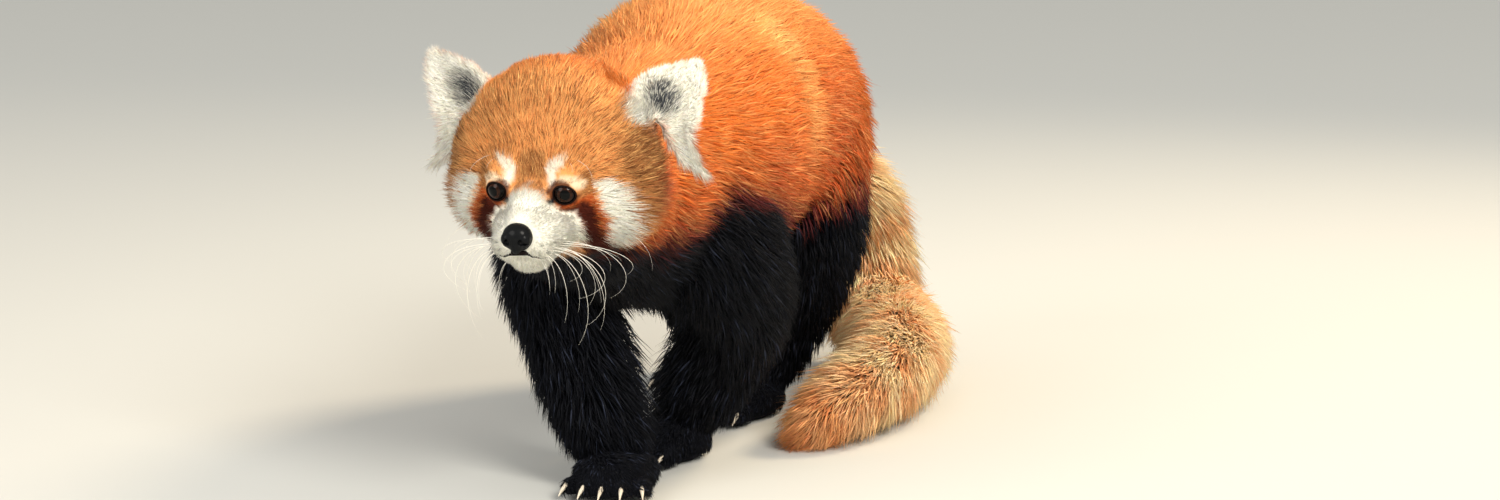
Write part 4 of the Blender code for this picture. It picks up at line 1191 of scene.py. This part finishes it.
# %% Nose
nose_parts = [ball(from_head(NOSE_PLACE), NOSE_RADII, HEAD_TURN.T, 40, 26)]
for side in (1, -1):
    nose_parts.append(ball(from_head((4.6 * side, -30.4, -19.5)), (4.6, 4.4, 5.0), HEAD_TURN.T, 28, 18))
nose_parts.append(ball(from_head((0, -31.5, -23)), (3.6, 3.2, 5.2), HEAD_TURN.T, 28, 18))
nose = melt(nose_parts, "look_nose", 0.5, 4)
openings = [ball(from_head((0, -36.1, -24)), (0.55, 2.4, 7.5), HEAD_TURN.T, 20, 14)]
for side in (1, -1):
    tilt = np.array(Matrix.Rotation(math.radians(24 * side), 3, "Y"))
    openings.append(ball(from_head((4.3 * side, -34.6, -20.2)), (1.7, 2.6, 2.2), HEAD_TURN.T, 20, 14))
    openings.append(ball(from_head((6.9 * side, -33.2, -21.2)), (2.4, 2.2, 0.9), (HEAD_TURN @ tilt).T, 20, 14))
cut(nose, openings)
refine(nose, 0.42, 2)
nose.data.materials.append(leather("nose", ("040506", "090b0f"), 0.45, 700, 0.4, 0.16))
print("nose:", len(nose.data.polygons), "faces")


# %% [markdown]
# Lips, whiskers and claws are all strands: a sphere primitive whose rings are strung along a line, so that
# both ends come out closed and every normal points outward.

# %% Strands
def strand(path, radii, segments=6, flat=1.0):
    """A closed strand along a path, with one radius for each of its points."""
    path, rings = np.array(path, float), len(path)
    made = ball((0, 0, 0), (1, 1, 1), segments=segments, rings=rings + 1)
    along = unit(np.gradient(path, axis=0))
    side = unit(np.cross(along, (0.03, 0.02, 1.0)))
    up = np.cross(side, along)
    side = -side
    for vertex in made.data.vertices:
        x, y, z = to_animal(vertex.co)
        ring = (1 - math.acos(max(-1, min(1, z))) / math.pi) * (rings + 1)
        if abs(z) > 0.99999:
            place = path[0] if z < 0 else path[-1]
        else:
            i = int(round(ring)) - 1
            angle = math.atan2(y, x)
            place = path[i] + radii[i] * (flat * math.cos(angle) * side[i] + math.sin(angle) * up[i])
        vertex.co = to_metres(place)
    bpy.ops.object.shade_smooth()
    return made


def on_skin(point, lift=0.0):
    """The nearest place on the skin to a point in the head's frame."""
    place, normal, _, _ = skin_tree.find_nearest(Vector(from_head(point)))
    return np.array(place) + np.array(normal) * lift


# %% Lips
lip_parts = []
for side in (1, -1):
    path = [on_skin(row_at(MOUTH, 0.2 + 3.6 * i / 23)[:3] * (side, 1, 1), 0.1) for i in range(24)]
    lip_parts.append(strand(path, [0.85 * (1 - 0.75 * (i / 23) ** 2) for i in range(24)], 10))
lips = join(lip_parts, "lips")
lips.data.materials.append(leather("lip", ("0d0909", "211614"), 0.42, 800, 0.3))

# %% [markdown]
# Whiskers leave the muzzle sideways and fall in wide hoops, thick at the root and fine as thread at the tip.

# %% Whiskers
# Root in the head's frame, how wide, deep and far back the hoop goes, and how far round it turns.
WHISKERS = (
    (17, -20, -27, 34, 16, -4, 150),
    (19, -16, -30, 30, 26, 2, 150),
    (20, -12, -28, 42, 15, 14, 120),
    (17, -20, -31, 22, 32, -2, 140),
    (21, -13, -30.5, 26, 34, 6, 125),
    (14, -23, -31, 15, 26, -8, 120),
    (21, -9, -28, 36, 22, 12, 140),
    (10, -21, -40, 8, 16, -6, 100),
)
whisker_dice = np.random.default_rng(7)


def hoop(root, side, wide, drop, back, turn, thick):
    """A whisker from the skin in a hoop to the side and down."""
    start = on_skin(np.array(root) * (side, 1, 1), -2.0)
    path, radii = [], []
    for i in range(19):
        share = i / 18
        angle = math.radians(turn * share)
        move = (wide * math.sin(angle) * side, back * share, -drop * (1 - math.cos(angle)))
        path.append(start + HEAD_TURN @ np.array(move))
        radii.append(thick * (1 - 0.85 * share**1.3))
    return strand(path, radii)


whisker_parts = []
for side in (1, -1):
    for x, y, z, wide, drop, back, turn in WHISKERS:
        for again in range(2):
            shift = whisker_dice.normal(0, (1.2, 1.2, 1.3)) * (again > 0)
            change = 1 if again == 0 else whisker_dice.uniform(0.62, 0.98)
            around = turn * (1 if again == 0 else whisker_dice.uniform(0.75, 1.0))
            root = np.array((x, y, z)) + shift
            whisker_parts.append(hoop(root, side, wide * change, drop * change, back, around, 0.17 - 0.04 * again))
    for root, wide, drop in (((20, 10, 17), 18, 11), ((15, 9, 18), 12, 6), ((43, 22, -30), 24, 20)):
        whisker_parts.append(hoop(root, side, wide, drop, -9, 95, 0.1))
whiskers = join(whisker_parts, "whiskers")
look, shader, _ = new_material("whisker", Base_Color=tone("f5f1e6"), Roughness=0.35, IOR=1.5)
whiskers.data.materials.append(look)
print("whiskers:", len(whisker_parts), "hairs")

# %% Claws
CLAW_LENGTH, CLAW_RADIUS = 12, 2.1
claw_parts = []
for values in FEET.values():
    for middle, points in toe_places(*values):
        start = middle + points * TOE_RADIUS * 0.25 + np.array((0, 0, 1.6))
        shares = np.linspace(0, 1, 14)
        path = start + points * (CLAW_LENGTH * shares)[:, None]
        path[:, 2] -= CLAW_LENGTH * 0.42 * shares**2
        path[:, 2] = np.maximum(path[:, 2], 0.9)
        claw_parts.append(strand(path, CLAW_RADIUS * (1 - 0.86 * shares**1.5), 14, 0.8))
claws = join(claw_parts, "claws")
look, shader, start = new_material("claw", IOR=1.5)
streak = start.noise(300)
horn = start.node("ShaderNodeMix", {"data_type": "RGBA"}, {"Factor": streak, 6: tone("cdbda4"), 7: tone("efe7d8")}, 2)
feed(shader, Base_Color=horn, Roughness=0.24 + 0.2 * streak)
claws.data.materials.append(look)
print("claws:", len(claw_parts))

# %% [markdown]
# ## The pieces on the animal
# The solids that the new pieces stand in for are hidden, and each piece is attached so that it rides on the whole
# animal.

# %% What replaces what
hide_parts(*FLESH)
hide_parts("nose")
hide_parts("eye_left")
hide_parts("eye_right")
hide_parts(*CLAWS)
FUR_SLOTS = {"tail": "fur_tail", "forelegs": "fur_black", "hindlegs": "fur_black", "ears": "fur_white"}
slots = {skin: "fur_rust", nose: "nose_leather", claws: "claw_horn", lid_pair: "nose_leather", lips: "nose_leather"}
slots.update({eye: "eye" for eye in eyes.values()})
slots[whiskers] = "fur_white"
for name, piece in coat.items():
    slots[piece] = FUR_SLOTS.get(name.split("_")[1], "fur_rust")
for piece, slot in slots.items():
    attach(piece, "root")

# %% [markdown]
# ## Floor, light and camera
# A pale floor, a broad soft light from the front right, a weaker one from the other side, and a warm one
# from behind that catches the edge of the coat, as daylight does in the picture.

# %% Floor and lights
deselect()
bpy.ops.mesh.primitive_plane_add(size=30)
floor = bpy.context.object
floor.name = floor.data.name = "floor"
look, shader, _ = new_material("floor", Base_Color=tone("ced0cd"), Roughness=0.9)
floor.data.materials.append(look)


def lamp(name, place, aim, size, power, code, spread):
    data = bpy.data.lights.new(name, "AREA")
    data.shape, data.size, data.energy, data.color = "DISK", size, power, colour(code)
    data.spread = math.radians(spread)
    made = bpy.data.objects.new(name, data)
    made.location = place
    made.rotation_euler = (Vector(aim) - Vector(place)).to_track_quat("-Z", "Y").to_euler()
    bpy.context.scene.collection.objects.link(made)


lamp("key", (2.0, -2.1, 2.1), (0, 0, 0.15), 1.4, 105, "fff8ec", 180)
lamp("fill", (-1.5, -2.4, 1.5), (0, 0, 0.15), 1.8, 38, "fffaf4", 180)
lamp("rim", (1.1, 1.6, 1.6), (0.02, 0.05, 0.2), 0.6, 11, "ffe6c0", 90)
world = bpy.data.worlds.new("studio")
world.use_nodes = True
world.node_tree.nodes["Background"].inputs["Color"].default_value = tone("efece6")
world.node_tree.nodes["Background"].inputs["Strength"].default_value = 0.75
bpy.context.scene.world = world

# %% Camera
CAMERA_PLACE, CAMERA_WAY = Vector((0.8107, -2.6432, 0.5979)), Vector((-0.27186, 0.94808, -0.16505))
camera_data = bpy.data.cameras.new("camera")
camera_data.lens, camera_data.sensor_width = 106.08, 36
camera = bpy.data.objects.new("camera", camera_data)
camera.location = CAMERA_PLACE
camera.rotation_euler = CAMERA_WAY.to_track_quat("-Z", "Y").to_euler()
bpy.context.scene.collection.objects.link(camera)
bpy.context.scene.camera = camera
bpy.context.scene.view_settings.view_transform = "Standard"
